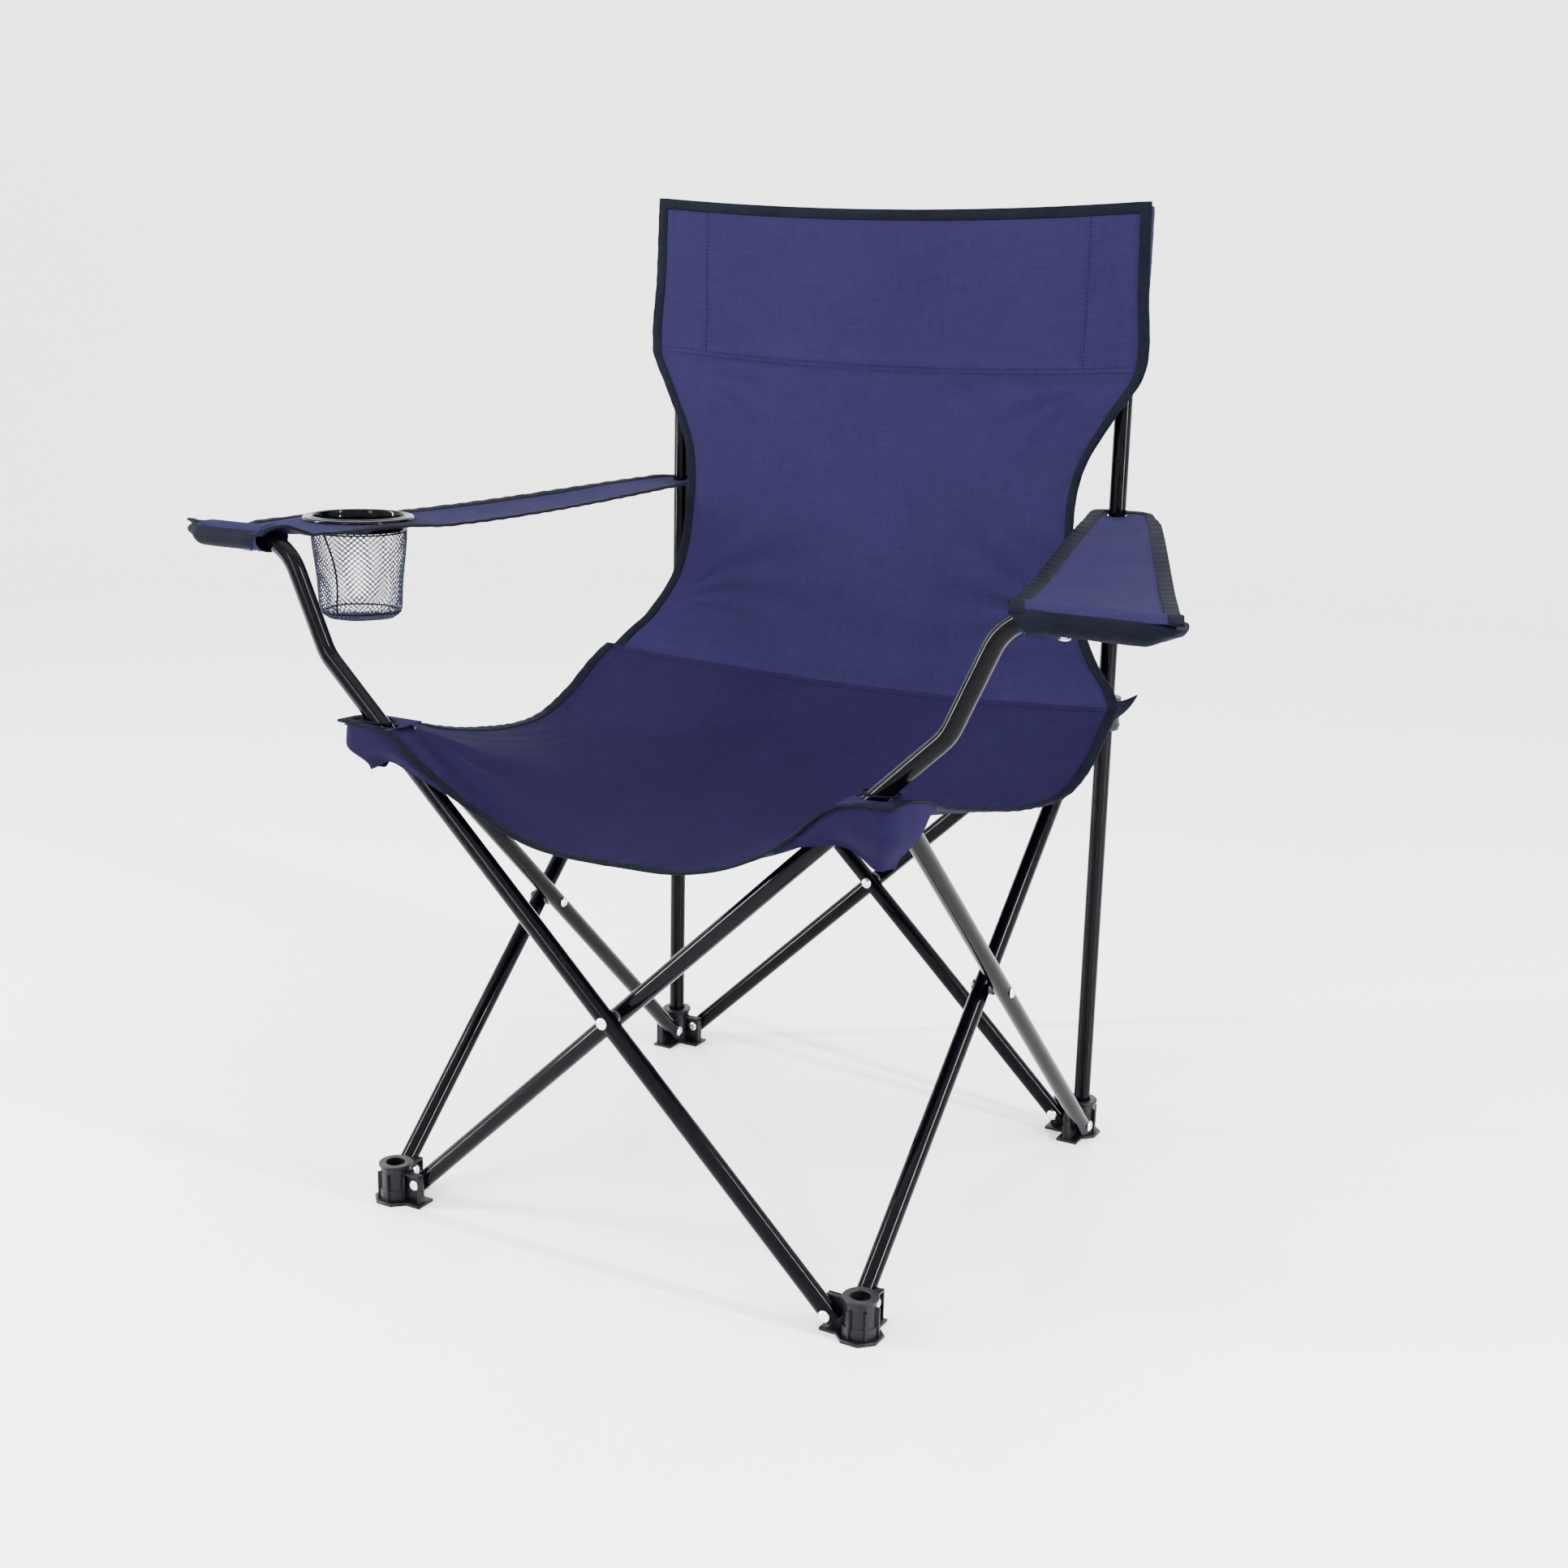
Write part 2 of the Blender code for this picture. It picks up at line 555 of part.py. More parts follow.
def cup_ring_mesh():
    top = ARM_Z + CLOTH / 2 + GAP
    low = top + CUP_FLANGE - CUP_RING_DEPTH
    skirt = CUP_R + CUP_SKIRT
    profile = [
        (CUP_R, low), (skirt, low), (skirt, top), (CUP_FLANGE_R, top), (CUP_FLANGE_R, top + CUP_FLANGE * 0.5),
        (CUP_FLANGE_R - 0.003, top + CUP_FLANGE), (CUP_R + 0.001, top + CUP_FLANGE), (CUP_R, top + 0.001),
    ]
    return mesh_from(turned(profile, 24), "cup_ring")


def cup_basket_mesh():
    """Open mesh bag that hangs under the cup ring."""
    top = ARM_Z + CLOTH / 2 + CUP_FLANGE - CUP_RING_DEPTH
    bottom = top - BASKET_DEPTH
    floor = bottom + BASKET_WALL
    profile = [
        (0.0, bottom), (BASKET_BOTTOM_R * 0.8, bottom), (BASKET_BOTTOM_R, bottom + 0.006),
        (BASKET_TOP_R, top),
        (BASKET_TOP_R - BASKET_WALL, top), (BASKET_BOTTOM_R - BASKET_WALL, floor + 0.006),
        (BASKET_BOTTOM_R * 0.8 - BASKET_WALL, floor), (0.0, floor),
    ]
    return mesh_from(turned(profile, 20), "cup_basket")


def pocket_mesh(side, tube_y):
    """Cloth cap over a front corner, slotted for the arm tube at tube_y."""
    def corner(inner, outer, low, high):
        xs = sorted((side * (POST_HALF - inner), side * (POST_HALF + outer)))
        return single(box, (xs[0], -POST_HALF - outer, low), (xs[1], -POST_HALF + inner, high))

    top = TOP_RIVET_Z + POCKET_RISE
    low = top - POCKET_DROP
    outside = corner(POCKET_IN, POCKET_OUT, low, top)
    inside = corner(POCKET_IN + 0.01, POCKET_OUT - POCKET_WALL, low - 0.01, top - POCKET_WALL)
    middle = POST_HALF - EAR + POCKET_RISE * math.tan(TILT)
    half = TUBE_R / math.cos(TILT) + 0.0035
    xs = sorted((side * (middle - half), side * (middle + half)))
    beside = TUBE_R + 0.001
    slot = single(box, (xs[0], tube_y - beside, top - 0.01), (xs[1], tube_y + beside, top + 0.01))
    return combined("pocket", [outside], [inside, slot])


# Assembly ----------------------------------------------------------------------------------------

def quarter_turns(count):
    return Matrix.Rotation(count * math.pi / 2, 4, "Z")


def along_y(x, y, z):
    """Frame whose Z runs along -Y, outwards on the front face."""
    return Matrix.Translation((x, y, z)) @ Matrix.Rotation(math.pi / 2, 4, "X")


def build():
    clear_scene()
    steel = material("black_steel", (0.012, 0.012, 0.014), 0.22, 0.6)
    plastic = material("black_plastic", (0.018, 0.018, 0.020), 0.45)
    zinc = material("bright_rivet", (0.75, 0.76, 0.78), 0.28, 1.0)
    nylon = material("pale_washer", (0.05, 0.05, 0.055), 0.5)
    navy = material("navy_cloth", (0.030, 0.032, 0.110), 0.85)
    net = material("grey_net", (0.62, 0.64, 0.70), 0.7)

    chair = bpy.data.objects.new("chair", None)
    bpy.context.scene.collection.objects.link(chair)
    chair.location.y = CENTRE_Y

    plain_outer = scissor_tube("plain_tube", arm=False)
    arm_outer = scissor_tube("arm_tube", arm=True)
    mirror = Matrix.Diagonal((-1, 1, 1, 1))

    def mirrored(mesh):
        """The mesh leaning the other way, with its faces still pointing out."""
        made = mesh.copy()
        made.transform(mirror)
        made.flip_normals()
        return made

    plain_inner, arm_inner = mirrored(plain_outer), mirrored(arm_outer)

    foot, slider, top_hub = foot_hub_mesh(), slider_mesh(), top_hub_mesh()
    far_face = EAR_TUBE_SIDE - EAR_THICK
    end_rivet = rivet_mesh(far_face, PLANE + TUBE_R)
    middle_rivet = rivet_mesh(-PLANE - TUBE_R, PLANE + TUBE_R)
    washer = mesh_from(turned([
        (HOLE_R, GAP - TUBE_GAP / 2), (WASHER_R, GAP - TUBE_GAP / 2),
        (WASHER_R, TUBE_GAP / 2 - GAP), (HOLE_R, TUBE_GAP / 2 - GAP),
    ], ROUND), "washer")

    # The faces in quarter turns from the front: front, left, back, right.
    corner_names = {0: "front_left", 1: "rear_left", 2: "rear_right", 3: "front_right"}
    inwards = Matrix.Rotation(math.pi, 4, "X")
    span = POST_HALF - EAR
    for turn, face in enumerate(("front", "left", "back", "right")):
        facing = quarter_turns(turn)
        outer_mesh = arm_outer if face == "front" else plain_outer
        inner_mesh = arm_inner if face == "front" else plain_inner
        outer_y, inner_y = -POST_HALF - PLANE, -POST_HALF + PLANE
        for part, mesh, y in (("outer_tube", outer_mesh, outer_y), ("inner_tube", inner_mesh, inner_y)):
            place(f"{face}_{part}", mesh, steel, chair, facing @ Matrix.Translation((0, y, PIVOT_Z)))
        place(f"{face}_middle_rivet", middle_rivet, zinc, chair, facing @ along_y(0, -POST_HALF, PIVOT_Z))
        place(f"{face}_washer", washer, nylon, chair, facing @ along_y(0, -POST_HALF, PIVOT_Z))
        for part, x, z, flip in (
            ("outer_foot_rivet", span, FOOT_RIVET_Z, False), ("outer_top_rivet", -span, TOP_RIVET_Z, False),
            ("inner_foot_rivet", -span, FOOT_RIVET_Z, True), ("inner_top_rivet", span, TOP_RIVET_Z, True),
        ):
            way = inwards if flip else Matrix.Identity(4)
            place(f"{face}_{part}", end_rivet, zinc, chair, facing @ along_y(x, -POST_HALF, z) @ way)
        place(f"{corner_names[turn]}_foot", foot, plastic, chair,
              facing @ Matrix.Translation((POST_HALF, -POST_HALF, 0)))
    for turn, mesh, kind in ((0, top_hub, "top_hub"), (3, top_hub, "top_hub"), (1, slider, "slider"),
                             (2, slider, "slider")):
        place(f"{corner_names[turn]}_{kind}", mesh, plastic, chair,
              quarter_turns(turn) @ Matrix.Translation((POST_HALF, -POST_HALF, TOP_RIVET_Z)))

    post_low = BASE_HEIGHT + CUP_FLOOR + GAP
    post = combined(
        "post", [single(rod, (0, 0, post_low), (0, 0, POST_TOP_Z), TUBE_R)],
        [single(rod, (0, 0, post_low - 0.01), (0, 0, POST_TOP_Z + 0.01), TUBE_R - TUBE_WALL)],
    )
    plug_r = TUBE_R - TUBE_WALL - GAP
    plug = mesh_from(turned([
        (0.0, -PLUG_LONG), (plug_r, -PLUG_LONG), (plug_r, GAP), (TUBE_R, GAP), (TUBE_R, 0.0015),
        (TUBE_R - 0.001, 0.0025),
        (0.0, 0.003),
    ]), "plug")
    grip_rivet = rivet_mesh(-GRIP_HALF_HEIGHT, TUBE_R)
    for side, word in ((1, "left"), (-1, "right")):
        place(f"rear_{word}_post", post, steel, chair, Matrix.Translation((side * POST_HALF, POST_HALF, 0)))
        place(f"{word}_post_cap", plug, plastic, chair,
              Matrix.Translation((side * POST_HALF, POST_HALF, POST_TOP_Z)))
        tube_y = arm_tube_y(side)
        end = Matrix.Translation((side * GRIP_END_X, tube_y, LEVEL_Z))
        place(f"{word}_arm_plug", plug, plastic, chair, end @ Matrix.Rotation(side * math.pi / 2, 4, "Y"))
        place(f"{word}_grip_rivet", grip_rivet, zinc, chair,
              Matrix.Translation((side * GRIP_RIVET_X, tube_y, LEVEL_Z)))
        place(f"{word}_armrest_grip", grip_mesh(side, tube_y), navy, chair)
        place(f"{word}_armrest_strap", strap_mesh(side, cup=side < 0), navy, chair)
        place(f"{word}_corner_pocket", pocket_mesh(side, tube_y), navy, chair)
        place(f"seat_{word}", mesh_from(seat_half(side), "seat_half"), navy, chair)
    place("backrest", backrest_mesh(), navy, chair)
    place("cup_ring", cup_ring_mesh(), plastic, chair, Matrix.Translation((*cup_centre(), 0)))
    place("cup_basket", cup_basket_mesh(), net, chair, Matrix.Translation((*cup_centre(), 0)))


build()
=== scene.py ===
# %% [markdown]
# # A folding camp chair
# The chair is a cage of eight thin steel tubes riveted into crossed pairs between moulded corner hubs,
# with a sling of navy cloth hung in it. The frame says where every tube, rivet and hub is and how each
# one moves. This script dresses it, and nothing here moves a part of the frame.

# %% Load the frame
import json
import math
import bmesh
import bpy
from mathutils import Matrix, Vector, noise


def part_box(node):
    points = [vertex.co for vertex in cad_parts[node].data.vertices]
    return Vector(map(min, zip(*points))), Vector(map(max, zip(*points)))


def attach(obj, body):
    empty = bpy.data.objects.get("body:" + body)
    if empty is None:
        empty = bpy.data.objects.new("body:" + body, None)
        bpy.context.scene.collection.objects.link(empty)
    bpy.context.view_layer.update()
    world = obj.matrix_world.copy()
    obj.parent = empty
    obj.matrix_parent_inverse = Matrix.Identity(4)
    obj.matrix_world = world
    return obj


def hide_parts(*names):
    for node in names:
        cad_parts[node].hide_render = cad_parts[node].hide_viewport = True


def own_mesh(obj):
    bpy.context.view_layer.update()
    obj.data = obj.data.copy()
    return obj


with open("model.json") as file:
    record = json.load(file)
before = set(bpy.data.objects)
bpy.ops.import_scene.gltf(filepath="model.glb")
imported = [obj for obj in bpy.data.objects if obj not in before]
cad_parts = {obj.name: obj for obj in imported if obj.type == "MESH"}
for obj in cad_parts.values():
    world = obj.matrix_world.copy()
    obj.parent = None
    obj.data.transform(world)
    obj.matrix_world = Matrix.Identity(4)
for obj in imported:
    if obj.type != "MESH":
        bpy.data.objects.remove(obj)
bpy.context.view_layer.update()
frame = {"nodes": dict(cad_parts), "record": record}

# %% [markdown]
# Places start from a few sizes read from the frame: the back posts give the corners, the rivets give the
# pivots and the tubes give their own radius. A change to the frame carries through to the tubes, rivets
# and hubs. The cloth's outlines hold some heights and widths of their own, and need a look after it.

# %% Sizes read from the frame
def middle(node):
    low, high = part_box(node)
    return (Vector(low) + Vector(high)) / 2


def span(node):
    low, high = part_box(node)
    return Vector(high) - Vector(low)


CORNER = middle("rear_left_post").x
MID_Y = middle("rear_left_post").y - CORNER
TUBE_R = span("rear_left_post").x / 2
PIVOT_Z = middle("front_middle_rivet").z
RIVET_X = middle("front_outer_foot_rivet").x
FOOT_RIVET_Z = middle("front_outer_foot_rivet").z
TOP_RIVET_Z = middle("front_outer_top_rivet").z
PLANE = middle("front_inner_tube").y - (MID_Y - CORNER)
LEVEL_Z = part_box("front_outer_tube")[1][2] - TUBE_R
GRIP_END = -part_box("front_outer_tube")[0][0]
POST_TOP_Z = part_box("rear_left_post")[1][2]
TILT = math.atan2(RIVET_X, PIVOT_Z - FOOT_RIVET_Z)
print("corner", round(CORNER, 4), "tilt", round(math.degrees(TILT), 2), "arms at", round(LEVEL_Z, 4))

# %% [markdown]
# ## Camera
# The camera looks down a little on the seat, turned about 30 degrees to one side, so that the front, one
# flank and the inside of the sling all show. A normal lens keeps the tubes straight.

# %% Camera
CAMERA_AT = Vector((0.8578, -1.4927 + MID_Y, 0.7885))
YAW, PITCH, ROLL = math.radians(29.221), math.radians(-14.215), math.radians(1.263)

camera_data = bpy.data.cameras.new("studio_camera")
camera_data.lens = 47.54
camera_data.sensor_width = 36.0
camera = bpy.data.objects.new("studio_camera", camera_data)
bpy.context.scene.collection.objects.link(camera)
turn = Matrix.Rotation(YAW, 4, "Z") @ Matrix.Rotation(math.pi / 2 + PITCH, 4, "X")
turn = turn @ Matrix.Rotation(ROLL, 4, "Z")
camera.matrix_world = Matrix.Translation(CAMERA_AT) @ turn
bpy.context.scene.camera = camera
print("camera", [round(value, 3) for value in camera.location])

# %% [markdown]
# ## Shader maths
# Node trees are easier to read as sums. The class below wraps one socket, so adding or multiplying two of
# them adds the Math node that does it. Every other node comes from its `node` method.

# %% A socket that can be calculated with
class Wire:
    """One socket of a material's tree, with Python's own operators."""

    def __init__(self, tree, socket=None):
        self.tree, self.socket = tree, socket

    def node(self, kind, settings=(), sockets=(), out=0):
        made = self.tree.nodes.new(kind)
        for name, value in dict(settings).items():
            if name == "stops":
                for stop, (place, colour) in zip(made.color_ramp.elements, value):
                    stop.position, stop.color = place, colour
            else:
                setattr(made, name, value)
        for name, value in dict(sockets).items():
            if isinstance(value, Wire):
                self.tree.links.new(value.socket, made.inputs[name])
            else:
                made.inputs[name].default_value = value
        return Wire(self.tree, made.outputs[out])

    def maths(self, operation, *values):
        return self.node("ShaderNodeMath", {"operation": operation}, dict(enumerate(values)))

    def __add__(self, other):
        return self.maths("ADD", self, other)

    def __sub__(self, other):
        return self.maths("SUBTRACT", self, other)

    def __mul__(self, other):
        return self.maths("MULTIPLY", self, other)

    __radd__, __rmul__ = __add__, __mul__

    def sine(self):
        return self.maths("SINE", self)

    def colour_between(self, first, second):
        """A colour from first to second as this value goes from 0 to 1."""
        mixed = {0: self, 6: (*first, 1.0), 7: (*second, 1.0)}
        return self.node("ShaderNodeMix", {"data_type": "RGBA"}, mixed, out=2)


def start_material(name, **constants):
    """A Principled material with its constant values set, its tree as a Wire, and its shader node."""
    made = bpy.data.materials.new(name)
    made.use_nodes = True
    shader = made.node_tree.nodes["Principled BSDF"]
    for socket, value in constants.items():
        shader.inputs[socket.replace("_", " ")].default_value = value
    return made, Wire(made.node_tree), shader


def feed(tree, shader, **wires):
    for socket, wire in wires.items():
        tree.tree.links.new(wire.socket, shader.inputs[socket.replace("_", " ")])


def coordinates(tree, kind="Object", scale=(1, 1, 1)):
    place = tree.node("ShaderNodeTexCoord", out={"Object": 3, "UV": 2}[kind])
    return tree.node("ShaderNodeMapping", {}, {"Vector": place, "Scale": scale})


def grain(tree, vector, scale, detail=3.0):
    return tree.node("ShaderNodeTexNoise", {}, {"Vector": vector, "Scale": scale, "Detail": detail})


def bump(tree, height, strength, distance):
    return tree.node("ShaderNodeBump", {}, {"Height": height, "Strength": strength, "Distance": distance})


# %% [markdown]
# ## Materials of the frame
# The tubes are powder coated black and polished enough to show long highlights. A trace of unevenness in
# the coat, put into roughness and a shallow bump, keeps those highlights from looking ruled. The hubs are
# moulded nylon with a fine spark-eroded grain, and the rivets are bright zinc with turned rings.

# %% Steel, plastic and zinc
def speckled(name, patch, dark, light, swing, rough, relief=None, detail=3.0, **constants):
    """A finish whose colour and roughness wander with one noise, and whose bump follows a finer one."""
    made, tree, shader = start_material(name, **constants)
    place = coordinates(tree)
    patches = grain(tree, place, patch, detail)
    wires = {"Base_Color": patches.colour_between(dark, light), "Roughness": patches * swing + rough}
    if relief:
        fine, fine_detail, strength, distance = relief
        wires["Normal"] = bump(tree, grain(tree, place, fine, fine_detail), strength, distance)
    feed(tree, shader, **wires)
    return made


STEEL = speckled("gloss_black_steel", 60.0, (0.0006, 0.0006, 0.0011), (0.0014, 0.0014, 0.0024), 0.04, 0.07,
                 (420.0, 1.0, 0.03, 0.0003), Metallic=0.0, IOR=1.5, Specular_IOR_Level=0.06)
PLASTIC = speckled("moulded_black_plastic", 45.0, (0.0016, 0.0016, 0.0024), (0.0042, 0.0042, 0.0058),
                   0.2, 0.3, (2600.0, 1.0, 0.35, 0.0003), Metallic=0.0, IOR=1.5, Specular_IOR_Level=0.14)
ZINC = speckled("bright_zinc", 700.0, (0.62, 0.63, 0.66), (0.90, 0.91, 0.93), 0.2, 0.16,
                (1800.0, 2.0, 0.15, 0.0002), Metallic=1.0)
NYLON = speckled("dark_nylon", 300.0, (0.01, 0.01, 0.012), (0.02, 0.02, 0.023), 0.2, 0.4, Metallic=0.0)
print("frame materials", [made.name for made in (STEEL, PLASTIC, ZINC, NYLON)])

# %% [markdown]
# ## Materials of the cloth
# The sling is plain-weave polyester: warp and weft cross over and under about 16 times a centimetre. Each
# cloth piece has a UV map measured in metres, so one weave fits them all. The thread colour wanders a
# little along each yarn, which gives the faint streaks that a dyed fabric shows.

# %% Woven cloth, tape and thread
YARN = 0.00062


def woven(name, dark, light, yarn=YARN, relief=0.5, roughness=0.85):
    made, tree, shader = start_material(name, Metallic=0.0, Specular_IOR_Level=0.03)
    place = coordinates(tree, "UV")
    axes = tree.node("ShaderNodeSeparateXYZ", {}, {0: place})
    across = axes
    along = Wire(axes.tree, axes.socket.node.outputs[1])
    warp = (across * (math.pi / yarn)).sine()
    weft = (along * (math.pi / yarn)).sine()
    crossing = warp * weft * 0.5 + 0.5
    streaks = grain(tree, coordinates(tree, "UV", (900, 26, 1)), 1.0) + grain(
        tree, coordinates(tree, "UV", (26, 900, 1)), 1.0)
    clouds = grain(tree, place, 9.0, 4.0)
    tone = streaks * 0.62 + clouds * 0.35 + crossing * 0.12 - 0.4
    tone = tree.node("ShaderNodeClamp", {}, {0: tone})
    feed(tree, shader, Base_Color=tone.colour_between(dark, light),
         Roughness=crossing * 0.1 + (roughness - 0.05),
         Normal=bump(tree, crossing + streaks * 0.6, relief, 0.0004))
    return made


def bound_tape():
    made, tree, shader = start_material("binding_tape", Metallic=0.0, Specular_IOR_Level=0.03)
    place = coordinates(tree)
    ribs = grain(tree, place, 1500.0, 2.0)
    clouds = grain(tree, place, 35.0, 3.0)
    feed(tree, shader, Base_Color=clouds.colour_between((0.0010, 0.0014, 0.0034), (0.0034, 0.0044, 0.0085)),
         Roughness=ribs * 0.15 + 0.62, Normal=bump(tree, ribs + clouds, 0.5, 0.0005))
    return made


NAVY = woven("navy_weave", (0.0064, 0.0052, 0.0215), (0.0128, 0.0106, 0.0380))
# A darker copy of the same navy weave: painted shade, used on the seat and the pocket walls.
SHADED_NAVY = woven("navy_weave_painted_shade", (0.0042, 0.0029, 0.0145), (0.0085, 0.0060, 0.0270))
THREAD = woven("navy_thread", (0.0016, 0.0018, 0.0060), (0.0040, 0.0045, 0.0120), relief=0.2)
TAPE = bound_tape()
NET = speckled("net_yarn", 900.0, (0.006, 0.007, 0.014), (0.030, 0.033, 0.062), 0.2, 0.5, detail=2.0,
               Metallic=0.0, Specular_IOR_Level=0.08)
print("cloth materials", [made.name for made in (NAVY, SHADED_NAVY, THREAD, TAPE, NET)])

# %% [markdown]
# ## Three ways to make a piece
# Most of this chair is one of three kinds of shape. A tube, a binding or a sleeve is a ring of points
# carried along a path, so `loft` extrudes one ring's edges again and again. A rivet or the cup ring is
# turned, so `turned` spins a profile. A panel of cloth is a grid laid over a surface, so `panel` moves the
# points of a grid to where a function says.

# %% Lofting, turning and finishing
def loft(bm, rings, caps=True):
    """A skin over rings of points, each grown from the last by extruding its edges."""
    order = bm.verts.layers.int.get("order") or bm.verts.layers.int.new("order")
    first = [bm.verts.new(point) for point in rings[0]]
    for number, vert in enumerate(first):
        vert[order] = number
    edges = [bm.edges.new(pair) for pair in zip(first, first[1:] + first[:1])]
    if caps:
        bmesh.ops.contextual_create(bm, geom=edges)
    for ring in rings[1:]:
        grown = bmesh.ops.extrude_edge_only(bm, edges=edges)["geom"]
        edges = [part for part in grown if isinstance(part, bmesh.types.BMEdge)]
        for vert in {vert for edge in edges for vert in edge.verts}:
            vert.co = ring[vert[order]]
    if caps:
        bmesh.ops.contextual_create(bm, geom=edges)


def circle(count):
    """The angles of that many points spaced evenly round a circle."""
    return [math.tau * step / count for step in range(count)]


def connected(verts):
    """These points and every point that edges join to them."""
    found, reach = set(verts), list(verts)
    while reach:
        vert = reach.pop()
        beyond = {edge.other_vert(vert) for edge in vert.link_edges} - found
        found |= beyond
        reach.extend(beyond)
    return list(found)


def spun(bm, profile, steps, ring=False):
    """A profile of (radius, height) points spun about Z. A ring's last point is joined to its first."""
    points = [bm.verts.new((radius, 0.0, height)) for radius, height in profile]
    edges = [bm.edges.new(pair) for pair in zip(points, points[1:])]
    if ring:
        edges.append(bm.edges.new((points[-1], points[0])))
    bmesh.ops.spin(
        bm, geom=points + edges, axis=(0, 0, 1), cent=(0, 0, 0), angle=math.tau, steps=steps, use_merge=True)
    return points


def turned(bm, profile, steps, matrix=None):
    """A solid spun from a profile that ends on the axis or closes into a ring, and then placed."""
    points = spun(bm, profile, steps, ring=profile[0][0] > 0)
    if matrix:
        bmesh.ops.transform(bm, matrix=matrix, verts=connected(points))


def block(bm, low, high, soft, segments=2):
    """A box with its edges rounded."""
    size = [far - near for near, far in zip(low, high)]
    centre = [(near + far) / 2 for near, far in zip(low, high)]
    matrix = Matrix.Translation(centre) @ Matrix.Diagonal((*size, 1.0))
    verts = bmesh.ops.create_cube(bm, size=1.0, matrix=matrix)["verts"]
    edges = list({edge for vert in verts for edge in vert.link_edges})
    bmesh.ops.bevel(bm, geom=edges, offset=soft, offset_type="OFFSET", segments=segments, profile=0.5,
                    affect="EDGES", clamp_overlap=True, material=-1)


def finish(name, bm, finish_material, body, replaces=(), sharp=38.0, clean=True):
    """Turns a bmesh into a piece that rides on its body and stands for its CAD nodes."""
    if clean:
        bmesh.ops.remove_doubles(bm, verts=bm.verts, dist=1e-6)
        bmesh.ops.recalc_face_normals(bm, faces=bm.faces)
    mesh = bpy.data.meshes.new(name)
    bm.to_mesh(mesh)
    bm.free()
    mesh.shade_smooth()
    mesh.set_sharp_from_angle(angle=math.radians(sharp))
    mesh.materials.append(finish_material)
    piece = bpy.data.objects.new(name, mesh)
    bpy.context.scene.collection.objects.link(piece)
    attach(piece, body)
    if replaces:
        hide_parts(*replaces)
    return piece


def body_of(node):
    """The frame's body that a node belongs to."""
    for name, nodes in frame["record"]["behaviour"]["bodies"].items():
        if node in nodes:
            return name
    raise KeyError(node)


# %% [markdown]
# ## Tubes
# Each tube of the frame is faceted. The same tube is made here with a round section and an open end, by
# carrying a circle along the line through its rivets. Where the arm tubes bend, the corners of that line
# are rounded by an arc, and each circle lies across the line so that the tube keeps its width.

# %% Tube paths
TUBE_SIDES = 28
TUBE_WALL = 0.0009
END_BEYOND = 0.008
ARM_RISE = 0.0975
ARM_GRIP = 0.092
BEND_R = 0.042


def rounded(corners, radius, step_turn=math.radians(4)):
    path = [Vector(corners[0])]
    for before, corner, after in zip(corners, corners[1:], corners[2:]):
        into, out = (corner - before).normalized(), (after - corner).normalized()
        bend = into.angle(out)
        centre = corner + (out - into).normalized() * radius / math.cos(bend / 2)
        first = corner - into * radius * math.tan(bend / 2) - centre
        steps = math.ceil(bend / step_turn)
        for step in range(steps + 1):
            path.append(centre + Matrix.Rotation(bend * step / steps, 3, into.cross(out)) @ first)
    return [*path, Vector(corners[-1])]


def tube_rings(path, radius, sides=TUBE_SIDES):
    """Circles across a path that lies in one plane."""
    bends = (path[-1] - path[0]).cross(path[len(path) // 2] - path[0])
    level = bends.normalized() if bends.length > 1e-7 else (path[1] - path[0]).orthogonal().normalized()
    rings = []
    for number, point in enumerate(path):
        before = path[number] - path[number - 1] if number else path[1] - path[0]
        after = path[number + 1] - path[number] if number < len(path) - 1 else before
        heading = (before.normalized() + after.normalized()).normalized()
        side = heading.cross(level).normalized()
        mitre = 1 / max(0.5, heading.dot(after.normalized()))
        rings.append([
            point + level * math.cos(at) * radius + side * math.sin(at) * radius * mitre
            for at in circle(sides)
        ])
    return rings


def open_tube(name, path, node, bore=0.02):
    """A tube along a path, bored a little way in from both ends with a softened rim."""
    soft = 0.0003
    first, last = (path[1] - path[0]).normalized(), (path[-1] - path[-2]).normalized()
    inner = TUBE_R - TUBE_WALL
    line = [path[0] + first * bore, path[0], path[0], path[0] + first * soft, *path[1:-1],
            path[-1] - last * soft, path[-1], path[-1], path[-1] - last * bore]
    radii = [inner, inner, TUBE_R - soft, *[TUBE_R] * len(path), TUBE_R - soft, inner, inner]
    bm = bmesh.new()
    rings = tube_rings(path, 1.0)
    shapes = [[point - centre for point in ring] for ring, centre in zip(rings, path)]
    shapes = [shapes[0]] * 4 + shapes[1:-1] + [shapes[-1]] * 4
    loft(bm, [[centre + point * radius for point in shape]
              for centre, shape, radius in zip(line, shapes, radii)])
    return finish(name, bm, STEEL, body_of(node), [node])


def scissor_path(face, which):
    """From the foot end to the top end of one tube, through its rivets."""
    foot, top = middle(f"{face}_{which}_foot_rivet"), middle(f"{face}_{which}_top_rivet")
    plane = middle(f"{face}_{which}_tube")
    sideways = 1 if face in ("front", "back") else 0
    foot[sideways] = top[sideways] = plane[sideways]
    along = (top - foot).normalized()
    start = foot - along * END_BEYOND
    if face != "front":
        return [start, top + along * END_BEYOND]
    bend = top + along * ARM_RISE
    side = 1 if top.x > 0 else -1
    corner = Vector((side * (GRIP_END - ARM_GRIP), top.y, LEVEL_Z))
    return rounded([start, bend, corner, Vector((side * GRIP_END, top.y, LEVEL_Z))], BEND_R)


